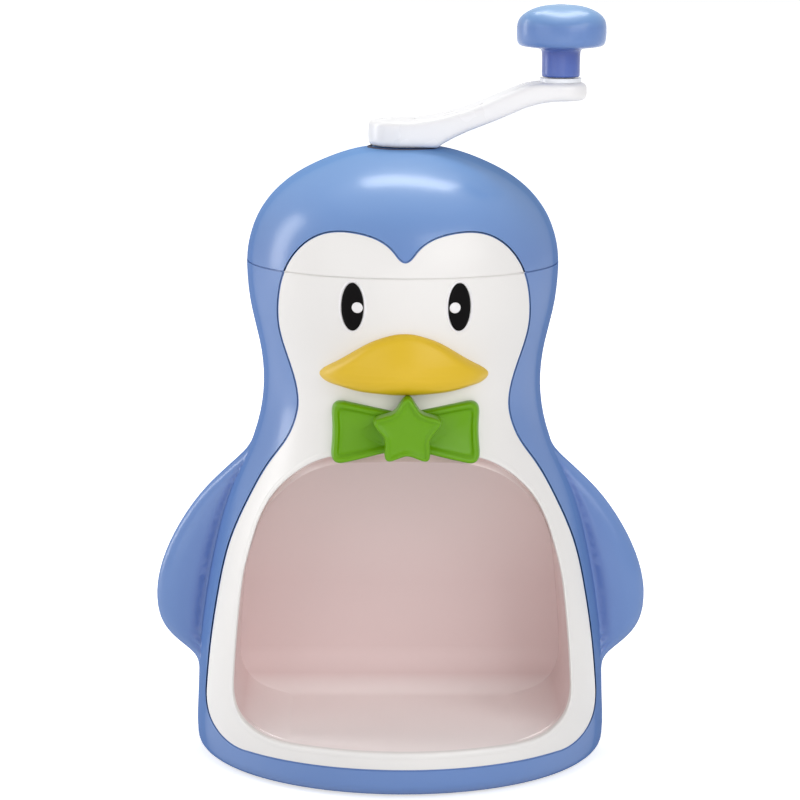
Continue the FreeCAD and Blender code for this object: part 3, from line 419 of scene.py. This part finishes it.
def lofted(name, rings, body, slot, replaced=(), levels=1):
    """Closed skin through rings, each end drawn together in a middle point."""
    points = [point for ring in rings for point in ring]
    faces = skin(rings)
    count = len(rings[0])
    for row in (0, len(rings) - 1):
        middle = sum((Vector(point) for point in rings[row]), Vector()) / count
        points.append(middle)
        faces += [(row * count + k, row * count + (k + 1) % count, len(points) - 1) for k in range(count)]
    return add_piece(name, points, faces, body, slot, replaced, levels)


def swept(name, rings, body, slot, closed, levels=1, replaced=()):
    """Bar whose cross-sections are the rings; its ends are closed unless it runs round."""
    points = [point for ring in rings for point in ring]
    faces = skin(rings, path_closed=closed)
    if not closed:
        count = len(rings[0])
        last = (len(rings) - 1) * count
        faces += [tuple(range(count)), tuple(range(last, last + count))]
    return add_piece(name, points, faces, body, slot, replaced, levels)


def both_sides(half):
    """A right half that starts and ends near the middle plane, with its mirror image: one closed run."""
    left = [(-x, z) for x, z in reversed(half)]
    return half + [point for point in left if abs(point[0]) > 0.01]


# ---------------------------------------------------------------- seams between the shells and panels

# Right half of the white face and belly, and of the bay's opening, as the shells are cut.
FACE_OUTLINE = [(0, 198.3), (2.2, 199.3), (4.2, 201.7), (6.6, 204.1), (10.5, 206.4), (16.4, 208.1),
                (22.3, 208.7), (28.3, 208.1), (34.3, 205.6), (40.2, 200.3), (43.8, 194.5), (46.9, 181.6),
                (46.6, 170.5), (43.0, 158.3), (40.0, 148), (39.5, 141.5), (40.6, 135.8), (44.1, 127.8),
                (49.8, 119.5), (58.7, 103.7), (65.5, 87.6), (70.3, 67), (73.2, 47.9), (74.8, 31.8),
                (75.0, 23.9), (73.4, 18.4), (69.8, 14.6), (65.2, 12.4), (58.5, 11.7)]
BAY_OUTLINE = [(0, 127.0), (14, 126.4), (25.8, 124.8), (33.5, 121.9), (41.6, 116.3), (49.2, 108.2),
               (53.9, 99.9), (57.6, 88.9), (60.3, 78.4), (61.9, 67), (63.3, 52), (64.2, 38), (64.1, 31),
               (62.3, 25.4), (58.4, 21.4), (53.5, 19.1), (48, 18.1), (44, 17.8), (36, 17.8), (18, 17.8),
               (0, 17.8)]
SEAM = 192.5                  # level where the head lifts off
SEAM_HALF = 0.25
LEDGE = ((-0.5, 0.2), (1.1, 0.2), (1.1, 1.1), (-0.5, 1.1))    # reach outwards, depth
LEDGE_THICKNESS = 1.2
FACE_HALF_WIDTH = 45.0        # half width of the white face at the seam


def frames_along(run, closed):
    """Surface point, outward normal, side direction and flat outward direction along a run."""
    out = []
    count = len(run)
    for k in range(count):
        before = run[k - 1] if closed or k else run[0]
        after = run[(k + 1) % count] if closed or k < count - 1 else run[-1]
        point = on_body(*run[k])
        along = (on_body(*after) - on_body(*before)).normalized()
        normal = body_normal(point)
        side = normal.cross(along).normalized()
        flat = Vector((after[1] - before[1], 0, before[0] - after[0])).normalized()
        if flat.dot(side) < 0:
            flat.negate()
        out.append((point, normal, side, flat))
    return out


def seam_strip(name, run, body, slot, closed=False):
    """Ledge just under the gap that runs round a panel."""
    rings = [[point + side * reach - normal * depth for reach, depth in LEDGE]
             for point, normal, side, _ in frames_along(run, closed)]
    return swept(name, rings, body, slot, closed, levels=0)


def arc_strip(name, from_angle, to_angle, depth, low, high, body, slot):
    """Ledge just under the gap between body and head, between two angles in degrees."""
    rings = []
    steps = max(8, int(abs(to_angle - from_angle) / 2.5))
    outer = turned_radius(SEAM) - depth
    inner = outer - LEDGE_THICKNESS
    for step in range(steps + 1):
        angle = math.radians(from_angle + (to_angle - from_angle) * step / steps)
        rings.append([Vector((radius * math.cos(angle), radius * math.sin(angle), level))
                      for radius, level in ((outer, low), (outer, high), (inner, high), (inner, low))])
    return swept(name, rings, body, slot, False, levels=0)


def make_seams():
    """Ledges under the gaps round the white panels and between body and head."""
    right = through(FACE_OUTLINE, (1.0, 0.0), (-1.0, 0.1), 170)
    face_low = [point for point in right if point[1] < SEAM - SEAM_HALF]
    face_high = [point for point in right if point[1] > SEAM + SEAM_HALF]
    foot = right[-1]
    floor_run = [(foot[0] * (1 - 2 * step / 24), foot[1]) for step in range(1, 24)]
    left_low = [(-x, z) for x, z in reversed(face_low)]
    seam_strip("panel_seam", face_low + floor_run + left_low, "body", "shell_blue")
    left_high = [(-x, z) for x, z in face_high[1:]]
    seam_strip("brow_seam", list(reversed(face_high)) + left_high, "head", "shell_blue")
    half = math.degrees(math.asin(FACE_HALF_WIDTH / turned_radius(SEAM)))
    low = SEAM - 1.0
    high = SEAM + SEAM_HALF - 0.03
    arc_strip("head_seam_blue", half - 90, 270 - half, 0.4, low, high, "body", "shell_blue")
    arc_strip("head_seam_white", -90 - half, half - 90, 0.18, low, high, "body", "face_white")


# Roll of the bay's lip, in millimetres: outwards and proud of the shell, then its return into the
# bay as outwards and inwards.
LIP_FRONT = ((2.8, -0.35), (2.5, 0.06), (1.7, 0.17), (0.9, 0.2), (0.2, 0.1))
LIP_RETURN = ((-0.28, 0.5), (-0.34, 1.4), (-0.3, 3.2), (0.8, 3.3), (0.9, 1.8))
# Slope from the lip to the liner: share of the step, share of the drop, and depth. The step is
# larger along the walls than at the floor, and the drop leads down to the liner's low ceiling.
SLOPE = ((0.6, 0.15, 3.4), (0.8, 0.5, 4.6), (1.0, 0.9, 5.9), (1.0, 1.0, 6.8))
FLOOR_STEP = 0.12
WALL_STEP = 0.6
CEILING_DROP = 3.6
SLOPE_START = 2.6
SLOPE_END = 6.8


def make_bay_mouth():
    """Soft roll along the edge of the bay's opening, and the slope from it to the liner's walls."""
    run = both_sides(through(BAY_OUTLINE, (1.0, 0.0), (-1.0, 0.0), 120))
    lip = []
    slope = []
    for point, normal, side, flat in frames_along(run, True):
        inwards = Vector((0, 1 / abs(normal.y), 0))
        lip.append([point + side * reach + normal * rise for reach, rise in LIP_FRONT]
                   + [point + flat * reach + inwards * depth for reach, depth in LIP_RETURN])
        step = FLOOR_STEP + WALL_STEP * clamped((point.z - 18) / 6)
        drop = CEILING_DROP * clamped((point.z - 95) / 25)
        slope.append([point - flat * 0.3 + inwards * SLOPE_START]
                     + [point - flat * (step * first + drop * second) + inwards * depth
                        for first, second, depth in SLOPE]
                     + [point + flat + inwards * SLOPE_END, point + flat + inwards * SLOPE_START])
    swept("bay_lip", lip, "body", "face_white", True)
    swept("bay_mouth", slope, "body", "bay_white", True)


# ---------------------------------------------------------------- beak

BEAK_OUTLINE = [(0, 171.9), (3.5, 171.6), (7.2, 170.6), (11, 169.2), (18.6, 164.8), (26.2, 159.8),
                (30.4, 157.1), (31.9, 155.0), (30.4, 152.9), (25.8, 151.3), (18.6, 149.7), (11, 148.9),
                (4, 148.45), (0, 148.4)]
# How far inside its widest radius the bill lies at each level.
BILL = [(147.4, 8.5), (148.4, 5.4), (149.6, 2.9), (150.9, 1.4), (152.3, 0.65), (154.2, 0.1), (156.4, 0.0),
        (160.0, 0.3), (163.0, 0.95), (166.5, 1.9), (170.0, 3.0), (172.5, 3.9)]
BILL_RADIUS = 38.0
BILL_CENTRE = -25.5
BEAK_MIDDLE = (0.0, 156.0)
# Rings from the shell to the bill's middle: share of the outline, and how far each stands out.
BEAK_RINGS = ((1.0, -0.03), (1.0, 0.0), (0.992, 0.3), (0.97, 0.58), (0.94, 0.78), (0.9, 0.92), (0.85, 0.99),
              (0.78, 1.0), (0.66, 1.0), (0.5, 1.0), (0.32, 1.0), (0.14, 1.0))


def make_beak():
    """Bill that stands out from the face and rolls in to a soft edge."""
    outline = both_sides(through(BEAK_OUTLINE, (1.0, 0.0), (-1.0, 0.0), 44))
    middle_x, middle_z = BEAK_MIDDLE
    rings = []
    for share, stand in BEAK_RINGS:
        ring = []
        for x, z in outline:
            px = middle_x + (x - middle_x) * share
            pz = middle_z + (z - middle_z) * share
            low = on_body(px, pz, -0.4).y if stand < 0 else on_body(px, pz).y
            reach = BILL_RADIUS - between(BILL, pz)
            high = BILL_CENTRE - math.sqrt(max(reach * reach - px * px, 1.0))
            ring.append(Vector((px, low + (min(high, low - 0.8) - low) * max(stand, 0.0), pz)))
        rings.append(ring)
    return lofted("beak_shell", rings, "body", "beak_yellow", ("beak",), levels=2)


# ---------------------------------------------------------------- bow tie and star

WING = [(3.5, 142.2), (9, 143.3), (27.3, 146.6), (26.2, 134.3), (27.6, 121.4), (9, 126.4), (3.5, 127.6)]
WING_CORNERS = (0.5, 3.0, 6.2, 7.0, 6.2, 3.0, 0.5)
WING_MIDDLE = (17.5, 134.4)
WING_FALL = 2.0               # how much lower the wing is at the knot
# The rim as inset and rise, then the dish as share of the rim's inner line and rise.
WING_RIM = ((0.3, -0.4), (0.15, 0.2), (0.0, 1.5), (0.05, 2.7), (0.35, 3.8), (0.85, 4.5), (1.4, 4.75),
            (1.9, 4.65))
WING_DISH = ((0.96, 4.5), (0.91, 4.0), (0.86, 3.5), (0.8, 3.2), (0.6, 3.15), (0.35, 3.15), (0.15, 3.15))


def make_wing(name, side, stretch, replaced):
    """One wing with a soft raised rim round a dished face that falls towards the knot."""
    loop = rounded_loop([(side * x * stretch, z) for x, z in WING], WING_CORNERS)

    def raised(point, rise):
        fall = WING_FALL * clamped((24.0 - abs(point.x)) / 16.0)
        return on_body(point.x, point.y, rise - (fall if rise > 1.0 else 0.0))

    rings = [[raised(point, rise) for point in offset_loop(loop, inset)] for inset, rise in WING_RIM]
    inner = offset_loop(loop, WING_RIM[-1][0])
    middle = Vector((side * WING_MIDDLE[0], WING_MIDDLE[1]))
    rings += [[raised(middle + (point - middle) * share, rise) for point in inner]
              for share, rise in WING_DISH]
    return lofted(name, rings, "body", "bow_green", replaced)


STAR_MIDDLE = (1.1, 136.1)
STAR_TIP = 15.0
STAR_VALLEY = 8.5
STAR_CORNERS = (4.4, 2.4)
# The edge as inset and distance in front of the axis, then the face as share and distance.
STAR_EDGE = ((-0.1, 56.0), (-0.1, 60.0), (0.0, 64.6), (0.15, 65.6), (0.5, 66.3), (0.95, 66.5), (1.35, 66.4),
             (1.7, 66.15))
STAR_FACE = ((0.93, 65.85), (0.85, 65.7), (0.6, 65.7), (0.35, 65.7), (0.12, 65.7))


def make_star():
    """Star on the knot with rounded points and a slightly sunken face."""
    corners = []
    for index in range(10):
        reach = STAR_VALLEY if index % 2 else STAR_TIP
        turn = math.pi * index / 5
        corners.append((STAR_MIDDLE[0] - reach * math.sin(turn), STAR_MIDDLE[1] + reach * math.cos(turn)))
    loop = rounded_loop(corners, STAR_CORNERS)
    middle = Vector(STAR_MIDDLE)
    rings = [[Vector((point.x, -front, point.y)) for point in offset_loop(loop, inset)]
             for inset, front in STAR_EDGE]
    inner = offset_loop(loop, STAR_EDGE[-1][0])
    for share, front in STAR_FACE:
        rings.append([Vector((middle.x + (point.x - middle.x) * share, -front,
                              middle.y + (point.y - middle.y) * share)) for point in inner])
    return lofted("star_button", rings, "body", "bow_green", ("bow_star",))


# ---------------------------------------------------------------- eyes

EYE = {"left": -19.4, "right": 20.2, "level": 181.7, "half_width": 4.15, "half_height": 9.1}
GLINT = {"left": -17.6, "right": 18.5, "level": 181.6, "radius": 2.1}
# Each as growth of the oval and rise over the face, in millimetres.
INLAY_PROFILE = ((0.0, -0.5), (0.0, 0.1), (-0.06, 0.34), (-0.3, 0.5), (-0.8, 0.58), (-1.8, 0.62),
                 (-3.0, 0.64))
RIM_PROFILE = ((0.1, -0.3), (0.1, 0.16), (0.35, 0.3), (0.75, 0.28), (1.05, 0.05), (1.1, -0.3))
GLINT_PROFILE = ((0.0, 0.3), (0.0, 0.7), (-0.15, 0.86), (-0.6, 0.93), (-1.4, 0.97))


def oval_ring(middle, half_width, half_height, grow, rise, count=48):
    """Oval on the face, grown and raised by millimetres."""
    ring = []
    for k in range(count):
        angle = 2 * math.pi * k / count
        ring.append(on_body(middle[0] + (half_width + grow) * math.cos(angle),
                            middle[1] + (half_height + grow) * math.sin(angle), rise))
    return ring


def make_eye(word):
    """Black oval with its white rim and glint."""
    middle = (EYE[word], EYE["level"])
    sizes = (EYE["half_width"], EYE["half_height"])
    rings = [oval_ring(middle, *sizes, grow, rise) for grow, rise in INLAY_PROFILE]
    lofted("eye_" + word + "_inlay", rings, "body", "eye_black", ("eye_" + word,))
    lines = [oval_ring(middle, *sizes, grow, rise, 64) for grow, rise in RIM_PROFILE]
    rim = [list(section) for section in zip(*lines)]
    swept("eye_" + word + "_rim", rim, "body", "glint_white", True)
    spot = (GLINT[word], GLINT["level"])
    rings = [oval_ring(spot, GLINT["radius"], GLINT["radius"], grow, rise, 24)
             for grow, rise in GLINT_PROFILE]
    lofted("glint_" + word, rings, "body", "glint_white", ("eye_glints",))


# ---------------------------------------------------------------- knob and crank arm

KNOB_AXIS = 60.0
KNOB_PROFILE = [(5.2, 262.75), (7.1, 262.75), (7.35, 263.1), (7.3, 266), (7.3, 270.5), (7.4, 272.6),
                (8.0, 273.4), (10.5, 273.8), (14.4, 274.2), (16.2, 274.7), (16.95, 276.0), (17.1, 279.0),
                (17.05, 282.2), (16.7, 284.5), (15.6, 286.5), (13.3, 288.2), (10.2, 289.4), (6.5, 290.1),
                (3.0, 290.25)]
KNOB_LOBES = 3
LOBE_REACH = 0.035            # share by which the lobes stand out
LOBE_SINK = 0.9               # how far the top sinks between them, in millimetres
LOBE_LEVEL = 274.0            # where the lobes begin
SINK_LEVEL = 281.0            # where the top starts to sink between them
DEEPEST_SINK = 1.9


def make_knob():
    """Grip with three soft lobes: one behind and two in front."""
    rings = []
    for radius, level in KNOB_PROFILE:
        ring = []
        for k in range(60):
            angle = 2 * math.pi * k / 60
            lobe = math.cos(KNOB_LOBES * (angle - math.pi / 2))
            share = clamped((level - LOBE_LEVEL) / 6.0)
            outer = min(1.0, radius / 15.0) ** 2
            reach = radius * (1 + LOBE_REACH * lobe * share)
            sink = LOBE_SINK * (1 - lobe) * max(0.0, (level - SINK_LEVEL) / 5.0) * outer
            ring.append(Vector((KNOB_AXIS + reach * math.cos(angle), reach * math.sin(angle),
                                level - min(sink, DEEPEST_SINK))))
        rings.append(ring)
    return lofted("knob_grip", rings, "knob", "knob_blue", ("knob", "knob_cap"))


# Radius and level round the section of the dark ring under the hub, a painted shadow for the gap.
HUB_SHADOW_RING = ((11.6, 233.6), (13.8, 233.6), (13.95, 234.2), (13.95, 235.85), (13.75, 236.1), (11.6, 236.12))


def make_hub_shadow_ring():
    """Dark ring on the dome, seen as a line under the crank's hub: a painted shadow in the gap between them.
    """
    rings = []
    for k in range(72):
        angle = 2 * math.pi * k / 72
        rings.append([Vector((radius * math.cos(angle), radius * math.sin(angle), level))
                      for radius, level in HUB_SHADOW_RING])
    return swept("hub_shadow_ring", rings, "head", "rubber_grey", True)


LEVER_HUB = 13.6
LEVER_END = 10.1
LEVER_TOP = [(-14, 246.3), (2, 246.3), (6, 246.65), (11, 247.5), (16, 248.6), (22, 250.2), (27.5, 252.2),
             (33, 254.4), (37.5, 256.4), (42, 258.3), (46.5, 259.9), (51, 260.7), (72, 260.7)]
LEVER_UNDER = [(-14, 236.3), (12.6, 236.3), (13.6, 236.7), (14.6, 237.6), (20, 240.5), (24.5, 242.5),
               (29.5, 244.4), (35, 246.5), (41, 249.0), (46.5, 251.4), (52, 252.9), (56, 253.5), (60, 253.7),
               (72, 253.8)]
LEVER_ROLL = ((2.3, 0.0), (1.3, 0.22), (0.5, 0.8), (0.1, 1.7), (0.0, 2.7))    # inset, rise of the edge
LEVER_SHARES = (0.0, 0.3, 0.6, 0.85)          # rings across each flat face
# Place on the arm, radius and levels of the hub cap's pocket and of the one for the knob's screw.
LEVER_POCKETS = ((0.0, 4.6, 242.7, 250.0), (KNOB_AXIS, 4.5, 248.0, 256.4))


def lever_outline():
    """Plan of the lever from the hub's tip round to the knob's end: points with outward directions."""
    lean = math.asin((LEVER_HUB - LEVER_END) / KNOB_AXIS)
    half = []
    for step in range(28):
        angle = math.pi + (lean - math.pi / 2) * step / 28
        half.append((LEVER_HUB * math.cos(angle), LEVER_HUB * math.sin(angle),
                     math.cos(angle), math.sin(angle)))
    for step in range(60):
        share = step / 60
        radius = LEVER_HUB + (LEVER_END - LEVER_HUB) * share
        half.append((KNOB_AXIS * share + radius * math.sin(lean), radius * math.cos(lean),
                     math.sin(lean), math.cos(lean)))
    for step in range(23):
        angle = (math.pi / 2 - lean) * (1 - step / 22)
        half.append((KNOB_AXIS + LEVER_END * math.cos(angle), LEVER_END * math.sin(angle),
                     math.cos(angle), math.sin(angle)))
    return half + [(x, -y, nx, -ny) for x, y, nx, ny in reversed(half[1:-1])]


def make_lever():
    """Flat S-shaped arm with rolled edges, a pocket for the hub's cap and one for the knob's screw."""
    outline = lever_outline()

    def ring(inset, rise, top, share=1.0):
        points = []
        for x, y, nx, ny in outline:
            px, py = x - nx * inset, (y - ny * inset) * share
            level = between(LEVER_TOP if top else LEVER_UNDER, px)
            points.append(Vector((px, py, level + (-rise if top else rise))))
        return points

    flat_inset = LEVER_ROLL[0][0]
    rings = [ring(flat_inset, 0.0, False, share) for share in LEVER_SHARES]
    rings += [ring(inset, rise, False) for inset, rise in LEVER_ROLL]
    rings += [ring(inset, rise, True) for inset, rise in reversed(LEVER_ROLL)]
    rings += [ring(flat_inset, 0.0, True, share) for share in reversed(LEVER_SHARES)]
    points = [point for row in rings for point in row]
    piece = add_piece("crank_lever", points, skin(rings), "crank", "arm_white", ("crank_arm",))
    cutters = []
    for x, radius, low, high in LEVER_POCKETS:
        tool = bmesh.new()
        bmesh.ops.create_cone(tool, cap_ends=True, segments=48, radius1=radius * MM, radius2=radius * MM,
                              depth=(high - low) * MM,
                              matrix=Matrix.Translation((x * MM, 0, (low + high) / 2 * MM)))
        mesh = bpy.data.meshes.new("pocket")
        tool.to_mesh(mesh)
        tool.free()
        cutter = bpy.data.objects.new("pocket", mesh)
        bpy.context.scene.collection.objects.link(cutter)
        cutters.append(cutter)
        pocket = piece.modifiers.new("pocket", "BOOLEAN")
        pocket.operation = "DIFFERENCE"
        pocket.solver = "EXACT"
        pocket.object = cutter
    bpy.context.view_layer.update()
    shaped = bpy.data.meshes.new_from_object(piece.evaluated_get(bpy.context.evaluated_depsgraph_get()))
    piece.modifiers.clear()
    piece.data = shaped
    shaped.name = "crank_lever"
    shaped.set_sharp_from_angle(angle=math.radians(50))
    for cutter in cutters:
        bpy.data.objects.remove(cutter)


SPRING_RADIUS = 15.0
SPRING_WIRE = 1.0
SPRING_TURNS = 7
SPRING_STEPS = 30             # sections in one turn
SPRING_SIDES = 10             # points round the wire
SPRING_GATHER = 0.09          # how much closer the end turns lie


def make_spring():
    """Coil with closer end turns."""
    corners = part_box("press_spring")
    low, high = corners[0][2] / MM, corners[1][2] / MM
    span = high - low - 2 * SPRING_WIRE
    rings = []
    steps = SPRING_TURNS * SPRING_STEPS
    for step in range(steps + 1):
        share = step / steps
        angle = 2 * math.pi * SPRING_TURNS * share
        level = low + SPRING_WIRE + span * (share - SPRING_GATHER * math.sin(2 * math.pi * share))
        ring = []
        for k in range(SPRING_SIDES):
            turn = 2 * math.pi * k / SPRING_SIDES
            radius = SPRING_RADIUS + SPRING_WIRE * math.cos(turn)
            ring.append(Vector((radius * math.cos(angle), radius * math.sin(angle),
                                level + SPRING_WIRE * math.sin(turn))))
        rings.append(ring)
    coil = swept("press_coil", rings, "crank", "spring_steel", False, levels=0, replaced=("press_spring",))
    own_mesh(coil)


make_seams()
make_bay_mouth()
make_beak()
make_wing("bow_wing_left", -1, 1.01, ("bow_tie",))
make_wing("bow_wing_right", 1, 1.055, ("bow_tie",))
make_star()
make_eye("left")
make_eye("right")
make_knob()
make_hub_shadow_ring()
make_lever()
make_spring()

# ---------------------------------------------------------------- camera

CAMERA_DISTANCE = 1.21386
CAMERA_HEIGHT = 0.34934
CAMERA_AZIMUTH = -0.0165
CAMERA_ROLL = 0.0058
CAMERA_LENS = 142.65
SENSOR_WIDTH = 36.0
AIM = Vector((-0.00073, 0.0, 0.13709))


def make_camera():
    """Camera in front of the object, a little above it and turned a trifle about its view."""
    data = bpy.data.cameras.new("camera")
    data.lens = CAMERA_LENS
    data.sensor_width = SENSOR_WIDTH
    data.clip_start, data.clip_end = 0.05, 20.0
    camera = bpy.data.objects.new("camera", data)
    bpy.context.scene.collection.objects.link(camera)
    place = Vector((math.sin(CAMERA_AZIMUTH) * CAMERA_DISTANCE,
                    -math.cos(CAMERA_AZIMUTH) * CAMERA_DISTANCE, CAMERA_HEIGHT))
    forward = (AIM - place).normalized()
    right = forward.cross(Vector((0, 0, 1))).normalized()
    up = right.cross(forward)
    turned_right = math.cos(CAMERA_ROLL) * right + math.sin(CAMERA_ROLL) * up
    turned_up = -math.sin(CAMERA_ROLL) * right + math.cos(CAMERA_ROLL) * up
    axes = Matrix((turned_right, turned_up, -forward)).transposed()
    camera.matrix_world = Matrix.Translation(place) @ axes.to_4x4()
    bpy.context.scene.camera = camera


make_camera()

# ---------------------------------------------------------------- floor, world and lamps

FLOOR_HALF = 6.0
FLOOR_PAPER = (0.80, 0.80, 0.80, 1.0)
FLOOR_GLOW = 0.62             # near the object, where the paper itself is lit
GLOW_RANGE = (0.15, 0.9)      # metres from the origin over which the glow rises to white
WORLD_LIGHT = 0.3
WORLD_TINT = (0.95, 0.96, 1.0, 1.0)
PURE_WHITE = (1.0, 1.0, 1.0, 1.0)


def seen_directly(new, link):
    """1 for rays from the camera and for those that show the surroundings in gloss and glass."""
    path = new("ShaderNodeLightPath")
    first = new("ShaderNodeMath", operation="MAXIMUM")
    link(path.outputs["Is Camera Ray"], first.inputs[0])
    link(path.outputs["Is Glossy Ray"], first.inputs[1])
    both = new("ShaderNodeMath", operation="MAXIMUM")
    link(first.outputs[0], both.inputs[0])
    link(path.outputs["Is Transmission Ray"], both.inputs[1])
    return both.outputs[0]


def make_floor():
    """Wide sheet that takes the shadow and shows as white further out."""
    mesh = bpy.data.meshes.new("floor")
    corners = [(FLOOR_HALF * x, FLOOR_HALF * y, 0) for x, y in ((-1, -1), (1, -1), (1, 1), (-1, 1))]
    mesh.from_pydata(corners, [], [(0, 1, 2, 3)])
    floor = bpy.data.objects.new("floor", mesh)
    bpy.context.scene.collection.objects.link(floor)
    shader = Shader("floor_white")
    paper = shader.new("ShaderNodeBsdfDiffuse")
    paper.inputs["Color"].default_value = FLOOR_PAPER
    glow = shader.new("ShaderNodeEmission")
    glow.inputs["Color"].default_value = PURE_WHITE
    away = shader.new("ShaderNodeVectorMath", operation="LENGTH")
    shader.link(shader.place, away.inputs[0])
    level = shader.spread(away.outputs["Value"], FLOOR_GLOW, 1.0, *GLOW_RANGE)
    shown = shader.new("ShaderNodeMath", operation="MULTIPLY")
    shader.link(seen_directly(shader.new, shader.link), shown.inputs[0])
    shader.link(level, shown.inputs[1])
    shader.link(shown.outputs[0], glow.inputs["Strength"])
    both = shader.new("ShaderNodeAddShader")
    shader.link(paper.outputs["BSDF"], both.inputs[0])
    shader.link(glow.outputs["Emission"], both.inputs[1])
    shader.link(both.outputs["Shader"], shader.output.inputs["Surface"])
    mesh.materials.append(shader.material)


def make_world():
    """Faint light from all round, and plain white where the surroundings are seen."""
    world = bpy.data.worlds.new("studio")
    bpy.context.scene.world = world
    world.use_nodes = True
    tree = world.node_tree
    tree.nodes.clear()

    def new(kind, **settings):
        made = tree.nodes.new(kind)
        for key, value in settings.items():
            setattr(made, key, value)
        return made

    output = new("ShaderNodeOutputWorld")
    light = new("ShaderNodeBackground")
    light.inputs["Color"].default_value = WORLD_TINT
    light.inputs["Strength"].default_value = WORLD_LIGHT
    white = new("ShaderNodeBackground")
    white.inputs["Color"].default_value = PURE_WHITE
    white.inputs["Strength"].default_value = 1.0
    choose = new("ShaderNodeMixShader")
    tree.links.new(seen_directly(new, tree.links.new), choose.inputs["Fac"])
    tree.links.new(light.outputs["Background"], choose.inputs[1])
    tree.links.new(white.outputs["Background"], choose.inputs[2])
    tree.links.new(choose.outputs["Shader"], output.inputs["Surface"])


def lamp(name, place, aim, size, power, colour=PURE_WHITE[:3]):
    """Rectangular lamp that shines from its place to a point, in metres and watts."""
    data = bpy.data.lights.new(name, "AREA")
    data.shape = "RECTANGLE"
    data.size, data.size_y = size
    data.energy = power
    data.color = colour
    light = bpy.data.objects.new(name, data)
    light.location = place
    light.rotation_mode = "QUATERNION"
    light.rotation_quaternion = (Vector(aim) - Vector(place)).to_track_quat("-Z", "Y")
    bpy.context.scene.collection.objects.link(light)


make_floor()
make_world()
lamp("top", (0.06, 0.42, 1.25), (0.0, 0.0, 0.2), (0.7, 0.26), 5.6, (0.98, 1.0, 1.0))
lamp("sky", (0.0, 0.1, 1.5), (0.0, 0.0, 0.2), (1.6, 1.2), 2.6, (0.96, 1.0, 1.0))
lamp("key", (0.85, -1.15, 0.85), (0.0, 0.0, 0.12), (1.2, 1.0), 11.0)
lamp("fill", (-0.9, -1.1, 0.55), (0.0, 0.0, 0.14), (1.1, 1.0), 4.7)
lamp("low", (0.1, -1.4, 0.16), (0.0, 0.0, 0.05), (1.0, 0.28), 1.7)
lamp("left", (-1.15, 0.3, 0.5), (0.0, 0.0, 0.16), (0.35, 0.9), 5.5)

bpy.context.scene.view_settings.view_transform = "Standard"
